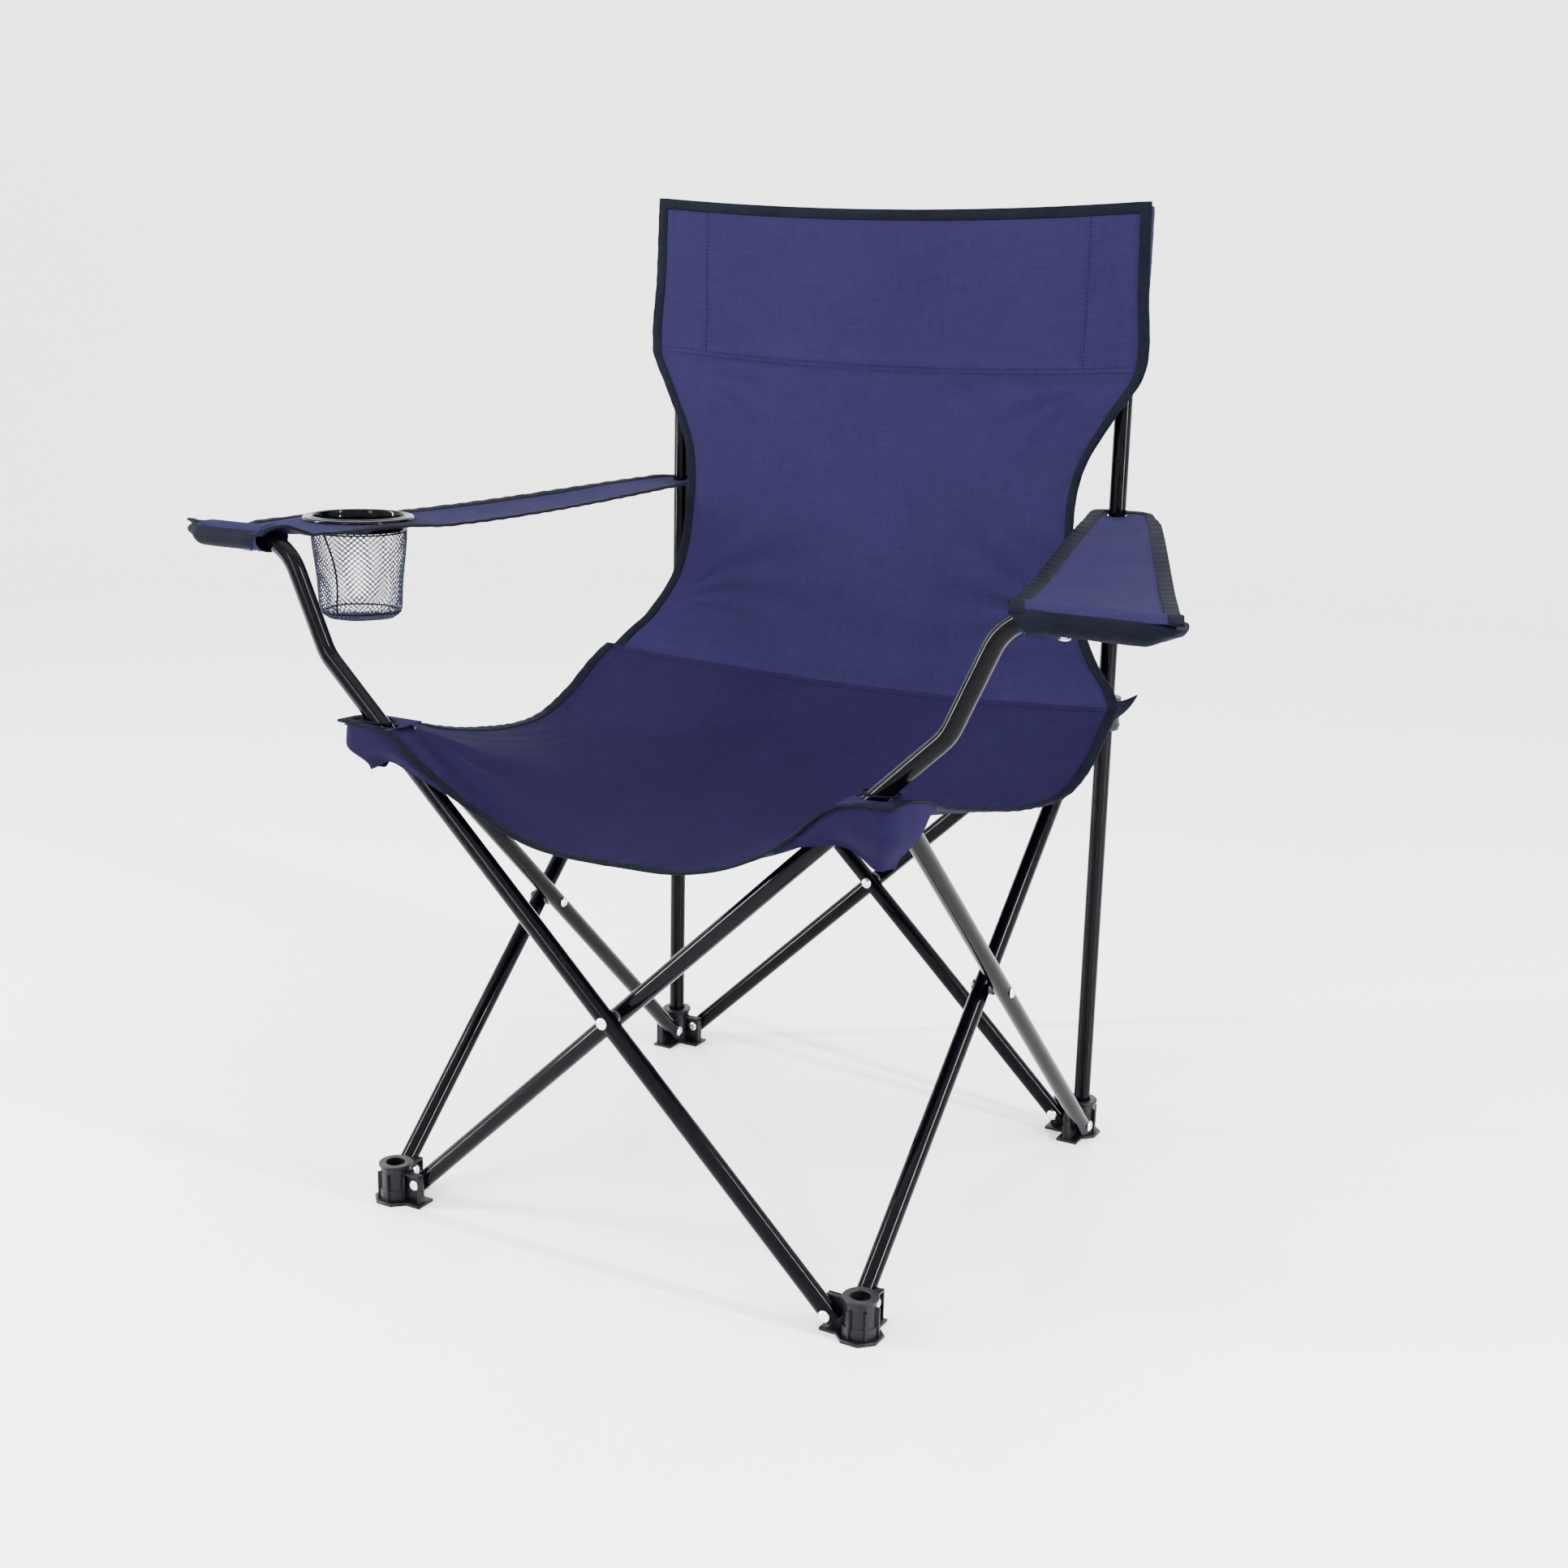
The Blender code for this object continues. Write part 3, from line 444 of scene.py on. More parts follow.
# %% Make the tubes and posts
for face in ("front", "left", "back", "right"):
    for which in ("outer", "inner"):
        open_tube(f"{face}_{which}_round_tube", scissor_path(face, which), f"{face}_{which}_tube")
for word in ("left", "right"):
    low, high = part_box(f"rear_{word}_post")
    at = middle(f"rear_{word}_post")
    ends = [Vector((at.x, at.y, low[2])), Vector((at.x, at.y, high[2]))]
    open_tube(f"rear_{word}_round_post", ends, f"rear_{word}_post")

# %% [markdown]
# ## Rivets
# A semi-tubular rivet has a low domed head with a ring turned in it and a dimple at its centre, and that
# ring is what catches the light. A profile spun about the rivet's axis gives both heads and the shank.

# %% Make the rivets
RIVET_HEAD_R = 0.0048
RIVET_HEAD = 0.0018
RIVET_SHANK_R = 0.0025


def rivet(name, node):
    low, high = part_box(node)
    size = span(node)
    axis = max(range(3), key=lambda number: size[number])
    half = size[axis] / 2
    seat = half - RIVET_HEAD
    head = [(0.0, 0.80), (0.16, 0.82), (0.26, 0.98), (0.44, 1.0), (0.62, 0.93), (0.80, 0.72), (0.93, 0.42),
            (1.0, 0.12), (0.97, 0.0)]
    upper = [(radius * RIVET_HEAD_R, seat + height * RIVET_HEAD) for radius, height in head]
    profile = [*upper, (RIVET_SHANK_R, seat), (RIVET_SHANK_R, -seat)]
    profile += [(radius, -height) for radius, height in reversed(upper)]
    quarter = math.pi / 2
    face = [Matrix.Rotation(quarter, 4, "Y"), Matrix.Rotation(quarter, 4, "X"), Matrix.Identity(4)][axis]
    bm = bmesh.new()
    turned(bm, profile, 24, Matrix.Translation(middle(node)) @ face)
    return finish(name, bm, ZINC, body_of(node), [node])


rivets = [node for node in frame["nodes"] if node.endswith("_rivet")]
for node in sorted(rivets):
    rivet(f"{node}_turned", node)
print("rivets", len(rivets))

# %% [markdown]
# ## Hubs
# A foot is one moulding: a cup for a post, two ears for the tubes, a sole plate and ribs between them. It
# could be cut from solid with Booleans. Here its walls are separate rounded blocks and a turned cup that
# run into each other, which keeps every edge soft. The sliders are the same moulding with no sole.

# %% Make the feet and sliders
EAR = CORNER - RIVET_X
EAR_FACE, EAR_BACK = 0.0017, -0.0030
CUP_R, SOCKET_R = 0.0128, TUBE_R + 0.0004
SOLE_R = 0.0192


def ears(bm, tube_side, low, high):
    """The two plates that the tubes lie against, with a stiffening rim."""
    near, far = sorted((tube_side * EAR_FACE, tube_side * EAR_BACK))
    reach = EAR + 0.0075
    block(bm, (-reach, near, low), (-0.006, far, high), 0.0008)
    block(bm, (near, 0.006, low), (far, reach, high), 0.0008)
    back = near if tube_side > 0 else far
    proud = -0.0028 * tube_side
    rims = sorted((back, back + proud))
    for level in (low, high - 0.002):
        block(bm, (-reach, rims[0], level), (-0.008, rims[1], level + 0.002), 0.0005)
        block(bm, (rims[0], 0.008, level), (rims[1], reach, level + 0.002), 0.0005)
    block(bm, (-reach, rims[0], low), (-reach + 0.002, rims[1], high), 0.0005)
    block(bm, (rims[0], reach - 0.002, low), (rims[1], reach, high), 0.0005)


def at_corner(name, bm, node, quarter_turns, height):
    """Finishes a hub that is modelled at the front left corner, turned to its own corner."""
    sides = math.radians(90 * quarter_turns)
    corner = Matrix.Rotation(sides, 3, "Z") @ Vector((CORNER, -CORNER, 0)) + Vector((0, MID_Y, height))
    bm.transform(Matrix.Translation(corner) @ Matrix.Rotation(sides, 4, "Z"))
    return finish(name, bm, PLASTIC, body_of(node), [node])


def foot(name, node, quarter_turns, socket_floor=0.006):
    top = span(node).z
    rim = CUP_R + 0.0016
    bm = bmesh.new()
    turned(bm, [
        (SOCKET_R, socket_floor), (SOCKET_R, top - 0.0006), (SOCKET_R + 0.0006, top), (rim - 0.0006, top),
        (rim, top - 0.0006), (rim, top - 0.0022), (CUP_R, top - 0.0034), (CUP_R, 0.0125),
        (CUP_R + 0.0012, 0.0115),
        (CUP_R + 0.0012, 0.002), (0.004, 0.002), (0.004, socket_floor),
    ], 40)
    turned(bm, [(0.0, 0.0), (SOLE_R - 0.0007, 0.0), (SOLE_R, 0.0007), (SOLE_R, 0.0022), (SOLE_R - 0.0008, 0.003),
                (0.0, 0.003)], 8, Matrix.Rotation(math.pi / 8, 4, "Z"))
    reach = EAR + 0.0090
    block(bm, (-reach, -0.0085, 0.0), (0.0, 0.0115, 0.0028), 0.0008)
    block(bm, (-0.0115, 0.0, 0.0), (0.0085, reach, 0.0028), 0.0008)
    ears(bm, -1, 0.0, FOOT_RIVET_Z + 0.010)
    for step in range(5):
        at = math.radians(-100 + 55 * step)
        rib = Matrix.Rotation(at, 4, "Z")
        made = bmesh.new()
        block(made, (0.0105, -0.0011, 0.002), (CUP_R + 0.0028, 0.0011, top - 0.0075), 0.0005)
        made.transform(rib)
        mesh = bpy.data.meshes.new("rib")
        made.to_mesh(mesh)
        made.free()
        bm.from_mesh(mesh)
        bpy.data.meshes.remove(mesh)
    return at_corner(name, bm, node, quarter_turns, 0)


def slider(name, node, quarter_turns):
    half = span(node).z / 2
    bm = bmesh.new()
    turned(bm, [
        (SOCKET_R, -half), (CUP_R - 0.001, -half), (CUP_R, 0.001 - half), (CUP_R, half - 0.004),
        (CUP_R + 0.0010, half - 0.003), (CUP_R + 0.0010, half - 0.0006), (CUP_R + 0.0004, half),
        (SOCKET_R, half),
    ], 40)
    ears(bm, 1, -half, 0.009)
    for level in (-half + 0.004, half - 0.010):
        turned(bm, [(SOCKET_R + 0.001, level), (CUP_R + 0.0009, level), (CUP_R + 0.0009, level + 0.0018),
                    (SOCKET_R + 0.001, level + 0.0018)], 40)
    return at_corner(name, bm, node, quarter_turns, TOP_RIVET_Z)


for turns, corner in enumerate(("front_left", "rear_left", "rear_right", "front_right")):
    foot(f"{corner}_moulded_foot", f"{corner}_foot", turns)
for turns, corner in ((1, "rear_left"), (2, "rear_right")):
    slider(f"{corner}_moulded_slider", f"{corner}_slider", turns)
for node, piece in frame["nodes"].items():
    kept = {"_hub": PLASTIC, "_cap": PLASTIC, "_plug": PLASTIC, "_washer": NYLON}
    for ending, made in kept.items():
        if node.endswith(ending):
            piece.data.materials.clear()
            piece.data.materials.append(made)
print("hubs done")

# %% [markdown]
# ## Cloth helpers
# A sling is shaped by its edges: where it is held it is taut, and between it hangs. So each panel is a
# surface between edge curves, and `through` draws a smooth curve through a few stops. Creases
# fan out from where the cloth is pulled, and it puckers along a seam. Both are added as small heights.

# %% Curves, creases and panels
def through(stops, at):
    """Smooth values at a place on the curve through (place, value...) stops."""
    places = [stop[0] for stop in stops]
    at = min(max(at, places[0]), places[-1])
    number = max(0, min(sum(place <= at for place in places) - 1, len(stops) - 2))
    left, right = stops[number], stops[number + 1]
    width = right[0] - left[0]
    share = (at - left[0]) / width

    def slope(index, value):
        before, after = max(0, index - 1), min(len(stops) - 1, index + 1)
        return (stops[after][value] - stops[before][value]) / (stops[after][0] - stops[before][0])

    values = []
    for value in range(1, len(left)):
        start, end = slope(number, value) * width, slope(number + 1, value) * width
        square, cube = share * share, share ** 3
        values.append(
            left[value] * (2 * cube - 3 * square + 1) + start * (cube - 2 * square + share)
            + right[value] * (3 * square - 2 * cube) + end * (cube - square))
    return values


def ease(share):
    share = min(max(share, 0.0), 1.0)
    return share * share * (3 - 2 * share)


def fan(point, centre, towards, spread, reach, folds, depth):
    """Height of creases that fan out from a held point, strongest near it."""
    offset = Vector(point) - Vector(centre)
    away = offset.length
    if away < 1e-4 or away > reach:
        return 0.0
    angle = offset.angle(Vector(towards))
    side = 1 if offset.x * towards[1] - offset.y * towards[0] > 0 else -1
    inside = 1 - ease(angle / spread)
    fade = ease(away / (0.2 * reach)) * (1 - ease(away / reach))
    phase = folds * side * angle / spread * math.pi + 3 * noise.noise(offset * 9)
    return depth * inside * fade * math.sin(phase)


def rumple(across, along, seed, depth, size=0.09, stretch=1.0):
    """Soft unevenness of cloth that hangs loose."""
    place = Vector((across / size, along / size * stretch, seed))
    return depth * (noise.noise(place) + 0.5 * noise.noise(place * 2.3) + 0.22 * noise.noise(place * 5.1))


def pucker(distance, along, depth=0.0003, pitch=0.017, width=0.018):
    """Small gathers beside a seam at a distance from it."""
    fade = max(0.0, 1 - distance / width)
    phase = along / pitch * math.tau + 4 * noise.noise(Vector((along * 30, 0, 7)))
    return depth * fade * fade * math.sin(phase)


CLOTH = 0.0009
LEVEL_WAYS = ((1, 0, 0), (0, 1, 0))


def panel(name, across, along, surface, flat, body, replaces=(), holes=(), cloth=NAVY):
    """A sheet of cloth: a grid laid on surface(share across, share along), with its UV map in metres."""
    bm = bmesh.new()
    layer = bm.loops.layers.uv.new("UVMap")
    bmesh.ops.create_grid(bm, x_segments=across, y_segments=along, size=0.5, calc_uvs=True)
    for face in bm.faces:
        for loop in face.loops:
            shares = loop.vert.co.x + 0.5, loop.vert.co.y + 0.5
            loop[layer].uv = (shares[0] * flat[0], shares[1] * flat[1])
    for vert in bm.verts:
        vert.co = surface(vert.co.x + 0.5, vert.co.y + 0.5)
    for centre, radii, directions in holes:
        open_hole(bm, centre, radii, directions)
    piece = finish(name, bm, cloth, body, replaces, sharp=80.0, clean=False)
    sides_of_edges = {}
    for polygon in piece.data.polygons:
        for key in polygon.edge_keys:
            sides_of_edges[key] = sides_of_edges.get(key, 0) + 1
    for edge in piece.data.edges:
        edge.use_edge_sharp = edge.use_edge_sharp or sides_of_edges.get(edge.key, 0) == 1
    thicken = piece.modifiers.new("cloth_thickness", "SOLIDIFY")
    thicken.thickness = CLOTH
    thicken.offset = 0.0
    return piece


def open_hole(bm, centre, radii, directions):
    """Opens an oval hole: points near its rim move onto it, and those inside go."""
    inside = []
    for vert in bm.verts:
        offset = vert.co - Vector(centre)
        parts = [offset.dot(Vector(way)) / radius for way, radius in zip(directions, radii)]
        reach = math.hypot(*parts)
        if abs(offset.dot(Vector(directions[0]).cross(Vector(directions[1])))) > 0.02 or reach > 1.12:
            continue
        if reach < 0.86:
            inside.append(vert)
        else:
            for way, radius, part in zip(directions, radii, parts):
                vert.co += Vector(way) * radius * (part / reach - part)
    bmesh.ops.delete(bm, geom=inside, context="VERTS")


def tape(name, pairs, body, half=0.0011, nose=0.0012):
    """Binding tape folded over an edge, from (edge point, inner point) pairs along it."""
    rings = []
    for number, (edge, inner) in enumerate(pairs):
        before, after = pairs[max(number - 1, 0)][0], pairs[min(number + 1, len(pairs) - 1)][0]
        inward = inner - edge
        normal = (after - before).cross(inward).normalized()
        out = edge - inward.normalized() * nose
        middle_point = edge.lerp(inner, 0.5)
        upper = [(inner, 0.55), (edge.lerp(inner, 0.92), 0.9), (middle_point, 1.0), (edge, 1.0), (out, 0.5)]
        rings.append([point + normal * half * lift for point, lift in upper]
                     + [point - normal * half * lift for point, lift in reversed(upper)])
    bm = bmesh.new()
    loft(bm, rings)
    return finish(name, bm, TAPE, body, sharp=60.0)


def stitches(name, rows, body, pitch=0.0036, length=0.0027, width=0.0006, depth=0.0013):
    """Rows of sewing stitches. Each row is (points, the cloth's normal near them)."""
    bm = bmesh.new()
    for points, normal in rows:
        travelled = pitch / 2
        for start, end in zip(points, points[1:]):
            step = (end - start).length
            if step < 1e-7:
                continue
            while travelled < step:
                heading = (end - start) / step
                up = (normal - heading * normal.dot(heading)).normalized()
                side = heading.cross(up)
                turn = Matrix((heading, side, up)).transposed().to_4x4()
                place = Matrix.Translation(start + heading * travelled) @ turn
                size = Matrix.Diagonal((length / 2, width / 2, depth, 1.0))
                bmesh.ops.create_icosphere(bm, subdivisions=1, radius=1.0, matrix=place @ size)
                travelled += pitch
            travelled -= step
    return finish(name, bm, THREAD, body, sharp=60.0, clean=False)


def walk(count, start=0.0, end=1.0):
    return [start + (end - start) * step / count for step in range(count + 1)]


print("cloth helpers ready")

# %% [markdown]
# ## Backrest
# The back is one panel. Its top band is doubled and sleeved over the posts, its waist is cut in, and it
# widens again down to the crease, where it meets the seat. Black tape binds its sides and top. It hangs
# from the posts, so its top edge dips a little between them.

# %% Backrest surface
CREASE_Y, CREASE_Z = 0.170, TOP_RIVET_Z + 0.0071
CREASE_END = Vector((CORNER + 0.038, CORNER - 0.072, TOP_RIVET_Z + 0.0211))
BACK_TOP_Z = POST_TOP_Z + 0.007
BAND_Z = BACK_TOP_Z - 0.141
BACK_STOPS = [
    (CREASE_Z, 0.2615, 0.156), (CREASE_Z + 0.018, 0.2480, 0.170), (0.446, 0.2310, 0.177),
    (0.490, 0.2070, 0.187),
    (0.560, 0.1960, 0.191), (0.613, 0.2010, 0.195), (0.662, 0.2257, 0.201), (BAND_Z, 0.2465, 0.2085),
    (0.770, 0.2440, 0.2105), (BACK_TOP_Z, 0.2420, 0.2110),
]


BACK_FOLDS = [(0.21, 0.47, 0.35, 0.9, 0.24, 5, 0.0016), (0.20, 0.69, -0.5, 0.8, 0.22, 4, 0.0012)]


def back_surface(across, up):
    side = 2 * across - 1
    low = CREASE_Z + (CREASE_END.z - CREASE_Z) * side ** 2 - 0.0055
    high = BACK_TOP_Z - 0.0085 * (1 - side ** 2)
    z = low + (high - low) * up
    half, edge_y = through(BACK_STOPS, CREASE_Z + (BACK_TOP_Z - CREASE_Z) * up)
    middle_y = through([(0.0, CREASE_Y), (0.12, 0.190), (0.35, 0.205), (0.65, 0.214), (1.0, 0.2125)], up)[0]
    y = middle_y + (edge_y - middle_y) * side ** 2
    x = side * half
    height = rumple(x, z, 3.0, 0.0016, 0.10, 0.6) * (1 - abs(side) ** 4)
    for held_x, held_z, slope, *shape in BACK_FOLDS:
        for hand in (1, -1):
            height += fan((x, z, 0), (hand * held_x, held_z, 0), (-hand, slope, 0), *shape)
    height += pucker(abs(z - BAND_Z), x) + pucker(half - abs(x), z)
    height += 0.0011 * math.exp(-((z - BAND_Z) / 0.006) ** 2)
    behind = 0.0026 * (1 - ease(up / 0.05))
    return Vector((x, y + MID_Y + behind - height, z))


BACK_FLAT = (0.50, 0.47)
backrest = panel("backrest_cloth", 150, 136, back_surface, BACK_FLAT, "root", ["backrest"])
print("backrest faces", len(backrest.data.polygons))

# %% Backrest sleeves, binding and seams
SEAM_X = CORNER - 0.034
BINDING = 0.0085


def sleeve_surface(side):
    """Round the back of a post, from the outer edge of the back to the vertical seam."""
    def surface(around, up):
        z = BAND_Z + (BACK_TOP_Z - 0.003 - BAND_Z) * up
        close = math.sqrt(max(0.0, 1 - max(0.0, (z - POST_TOP_Z - 0.0005) / 0.006) ** 2))
        depth = 0.0265 * close + 0.0012
        outline = [(0.0, CORNER + 0.019, 0.0), (0.12, CORNER + 0.0165, 0.45), (0.28, CORNER + 0.009, 0.93),
                   (0.45, CORNER - 0.002, 1.0), (0.65, CORNER - 0.013, 0.86), (0.85, CORNER - 0.025, 0.3),
                   (1.0, SEAM_X - 0.002, 0.0)]
        x, out = through(outline, around)
        across = (side * x / through(BACK_STOPS, z)[0] + 1) / 2
        front = back_surface(across, (z - CREASE_Z) / (BACK_TOP_Z - CREASE_Z))
        height = rumple(around * 0.1, z, 11.0 + side, 0.0007, 0.03, 0.5)
        return Vector((side * x, front.y + 0.0014 + out * depth + height * close, z))
    return surface


def squash_back(piece):
    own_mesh(piece)
    return piece


sleeves = [panel(f"{word}_post_sleeve", 40, 48, sleeve_surface(side), (0.075, 0.14), "root")
           for side, word in ((1, "left"), (-1, "right"))]
width_share, height_share = BINDING / 0.47, BINDING / 0.43
pairs = [(back_surface(0.0, up), back_surface(width_share, up)) for up in walk(150, 0.0, 1 - height_share)]
pairs += [(back_surface(0.0, 1.0), back_surface(width_share, 1 - height_share))]
pairs += [(back_surface(at, 1.0), back_surface(at, 1 - height_share))
          for at in walk(120, width_share, 1 - width_share)]
pairs += [(back_surface(1.0, 1.0), back_surface(1 - width_share, 1 - height_share))]
pairs += [(back_surface(1.0, up), back_surface(1 - width_share, up))
          for up in walk(150, 1 - height_share, 0.0)]
back_binding = tape("backrest_binding", pairs, "root", half=0.0014)

facing = Vector((0, -1, 0))
inset = 0.8
edge_row = [edge.lerp(inner, inset) for edge, inner in pairs]
band_share = (BAND_Z - CREASE_Z) / (BACK_TOP_Z - CREASE_Z)
band_rows = [[back_surface(at, band_share + lift / 0.43) for at in walk(150, 0.02, 0.98)]
             for lift in (0.0, 0.0045)]


def seam_row(side):
    """The vertical seam that closes a sleeve."""
    row = []
    for up in walk(40, band_share + 0.012, 0.985):
        half = through(BACK_STOPS, CREASE_Z + (BACK_TOP_Z - CREASE_Z) * up)[0]
        row.append(back_surface((side * SEAM_X / half + 1) / 2, up))
    return row


rows = [(row, facing) for row in (edge_row, *band_rows, seam_row(1), seam_row(-1))]
back_stitches = stitches("backrest_stitches", rows, "root")
for piece in (backrest, back_binding, back_stitches, *sleeves):
    squash_back(piece)
print("backrest stitches", len(back_stitches.data.polygons) // 20)

# %% [markdown]
# ## Seat
# The seat is the other half of the sling. It hangs from the two front corner hubs and the two sliders, so
# its front hem dips in the middle and its sides are pulled up at the corners. It is made as a left and a
# right half that meet along the middle line, because the real cloth folds down between the tubes there.

# %% Seat surface
FRONT_CORNER = CORNER + 0.0255
HEM_LOW = TOP_RIVET_Z - 0.0649
HEM_HIGH = TOP_RIVET_Z + 0.0185
SIDE_STOPS = [
    (-FRONT_CORNER, FRONT_CORNER, HEM_HIGH), (-0.218, FRONT_CORNER - 0.0015, HEM_HIGH - 0.0015),
    (-0.188, 0.2455, 0.4130), (-0.148, 0.2400, 0.4000), (-0.090, 0.2465, 0.3860), (-0.020, 0.2580, 0.3740),
    (0.040, 0.2640, 0.3725), (0.088, 0.2655, 0.3880), (0.128, 0.2640, 0.4120),
    (CREASE_END.y, *CREASE_END.xz),
]
MIDDLE_STOPS = [(-0.236, HEM_LOW), (-0.160, 0.3345), (-0.080, 0.3390), (0.030, 0.3510), (0.110, 0.3740),
                (CREASE_Y, CREASE_Z)]
HEM_STOPS = [(0.0, 0.0), (0.24, 0.032), (0.40, 0.160), (0.56, 0.378), (0.68, 0.628), (0.78, 0.880),
             (0.86, 0.975), (1.0, 1.0)]


def seat_surface(side):
    def surface(out, back):
        middle_y = -0.236 + (CREASE_Y + 0.236) * back
        edge_y = -FRONT_CORNER + (CREASE_END.y + FRONT_CORNER) * back
        half, edge_z = through(SIDE_STOPS, edge_y)
        middle_z = through(MIDDLE_STOPS, middle_y)[0]
        near = (1 - back) ** 2
        rise = near * through(HEM_STOPS, out)[0] + (1 - near) * out ** 2.1
        turn_out = (1 - back) * ease((out - 0.40) / 0.42) + back * out ** 2
        x = side * half * out
        y = middle_y + (edge_y - middle_y) * turn_out
        z = middle_z + (edge_z - middle_z) * rise
        held = ease(out / 0.10)
        height = rumple(x, y, 5.0, 0.0018, 0.13) * (1 - out ** 5)
        corner = (side * 0.222, -0.222, 0)
        height += held * fan((x, y, 0), corner, (-side, 0.62, 0), 1.0, 0.30, 3, 0.0036)
        height += held * fan((x, y, 0), (side * 0.25, 0.14, 0), (-side, -0.3, 0), 0.9, 0.20, 2, 0.0010)
        height += held * (pucker(abs(half - abs(x)), y) + pucker(y - edge_y, x))
        calm = 1 - 0.9 * ease((out - 0.8) / 0.2) * (1 - ease(back / 0.2))
        return Vector((x, y + MID_Y, z + height * calm))
    return surface


def squash_seat(piece):
    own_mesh(piece)
    return piece


def arm_tube_crossing(side, z):
    """Where an arm tube passes a height near the front top hub."""
    return Vector((side * (RIVET_X + (z - TOP_RIVET_Z) * math.tan(TILT)), MID_Y - CORNER + side * PLANE, z))


SEAT_FLAT = (0.262, 0.43)
SLOT_RADII = (TUBE_R / math.cos(TILT) + 0.0035, TUBE_R + 0.0022)
for side, word in ((1, "left"), (-1, "right")):
    surface = seat_surface(side)
    body = f"seat_{word}_side"
    slot_at = arm_tube_crossing(side, HEM_HIGH - 0.001)
    # The seat cloth takes the darker navy copy, which is painted shade.
    seat = panel(f"seat_{word}_cloth", 92, 136, surface, SEAT_FLAT, body, [f"seat_{word}"],
                 holes=[(slot_at, SLOT_RADII, LEVEL_WAYS)], cloth=SHADED_NAVY)
    if side < 0:
        seat.data.flip_normals()
    across_share, along_share = BINDING / 0.255, BINDING / 0.41
    pairs = [(surface(out, 0.0), surface(out, along_share)) for out in walk(90, 0.0, 1 - across_share)]
    pairs += [(surface(1.0, 0.0), surface(1 - across_share, along_share))]
    pairs += [(surface(1.0, back), surface(1 - across_share, back)) for back in walk(140, along_share, 1.0)]
    binding = tape(f"seat_{word}_binding", pairs, body, half=0.0014)
    row = [edge.lerp(inner, inset) for edge, inner in pairs]
    crease = [surface(out, 0.985) for out in walk(80, 0.0, 0.97)]
    up = Vector((0, 0, 1))
    sewn = stitches(f"seat_{word}_stitches", [(row, up), (crease, up)], body)
    for piece in (seat, binding, sewn):
        squash_seat(piece)
print("seat done")

# %% Tape tails at the corners of the seat
def tail(name, points, body):
    """A pointed end of binding tape, from (centre, half width, half thickness) stations."""
    rings = []
    for number, (centre, wide, thick) in enumerate(points):
        before, after = points[max(number - 1, 0)][0], points[min(number + 1, len(points) - 1)][0]
        heading = (after - before).normalized()
        side = heading.cross(Vector((0, 1, 0))).normalized()
        up = heading.cross(side)
        rings.append([centre + side * math.cos(at) * wide + up * math.sin(at) * thick
                      for at in circle(16)])
    bm = bmesh.new()
    loft(bm, rings)
    return squash_seat(finish(name, bm, TAPE, body, sharp=50.0))


for side, word in ((1, "left"), (-1, "right")):
    root = CREASE_END + Vector((-0.012, MID_Y + 0.012, -0.006))
    tip = Vector((CORNER + 0.041, MID_Y + CORNER - 0.034, TOP_RIVET_Z + 0.0265))
    stations = []
    for share in walk(12):
        at = root.lerp(tip, share)
        at.z -= 0.0025 * math.sin(math.pi * share)
        wide = 0.0085 * (1 - share) ** 0.9 + 0.0006
        stations.append((Vector((side * at.x, at.y, at.z)), wide, 0.0024 * (1 - 0.7 * share)))
    tail(f"rear_{word}_tape_tail", stations, f"seat_{word}_side")
print("tails done")

# %% [markdown]
# ## Corner pockets
# At each front corner the cloth makes a small bag over the hub. Its wall starts from nothing along the hem,
# is deepest round the corner and curls under. The arm tube leaves it through a buttonholed slot.

# %% Make the pockets
def pocket_outline(side, share):
    """Plan of the pocket's wall from the hem round the corner to the side edge."""
    reach = FRONT_CORNER - 0.0012
    bend = 0.014
    corner = [(0.150, -0.2385), (0.190, -0.2465), (reach - bend, -reach)]
    corner += [(reach - bend + bend * math.sin(at), -reach + bend - bend * math.cos(at))
               for at in (math.pi / 12 * step for step in range(1, 6))]
    corner += [(reach, -reach + bend), (reach - 0.0004, -0.205), (0.2415, -0.165)]
    lengths = [0.0]
    for before, after in zip(corner, corner[1:]):
        lengths.append(lengths[-1] + math.dist(before, after))
    stops = [(length / lengths[-1], *point) for length, point in zip(lengths, corner)]
    x, y = through(stops, share)
    return Vector((side * x, y + MID_Y, 0.0))


def edge_height(point):
    """Height of the seat's edge above a plan point of the pocket's outline."""
    x, y = abs(point.x), point.y - MID_Y
    if y < -FRONT_CORNER + 0.02:
        return HEM_LOW + (HEM_HIGH - HEM_LOW) * through(HEM_STOPS, x / FRONT_CORNER)[0]
    return through(SIDE_STOPS, y)[1]


def pocket_surface(side, deep):
    centre = Vector((side * (CORNER - 0.006), MID_Y - CORNER + 0.006, 0.0))

    def surface(around, down):
        point = pocket_outline(side, around)
        depth = deep * ease(around / 0.56) * ease((1 - around) / 0.26) + 0.004
        top = edge_height(point) - 0.0012
        curl = 0.46 * ease((down - 0.45) / 0.55) * ease(depth / deep)
        inward = (centre - point) * curl
        bulge = (point - centre).normalized() * 0.0015 * math.sin(math.pi * min(1.0, down * 1.25))
        height = rumple(around * 0.2, down * depth, 21.0 + side, 0.0008, 0.04) * math.sin(math.pi * down)
        return point + inward + bulge * (1 + height * 300) + Vector((0, 0, top - depth * down))
    return surface


def lid_surface(side):
    """Top of the pocket under the seat cloth, over the hub."""
    def surface(out, back):
        x = CORNER - 0.022 + (FRONT_CORNER - 0.003 - CORNER + 0.022) * out
        y = -FRONT_CORNER + 0.003 + (0.0440) * back
        return Vector((side * x, y + MID_Y, HEM_HIGH - 0.0035))
    return surface


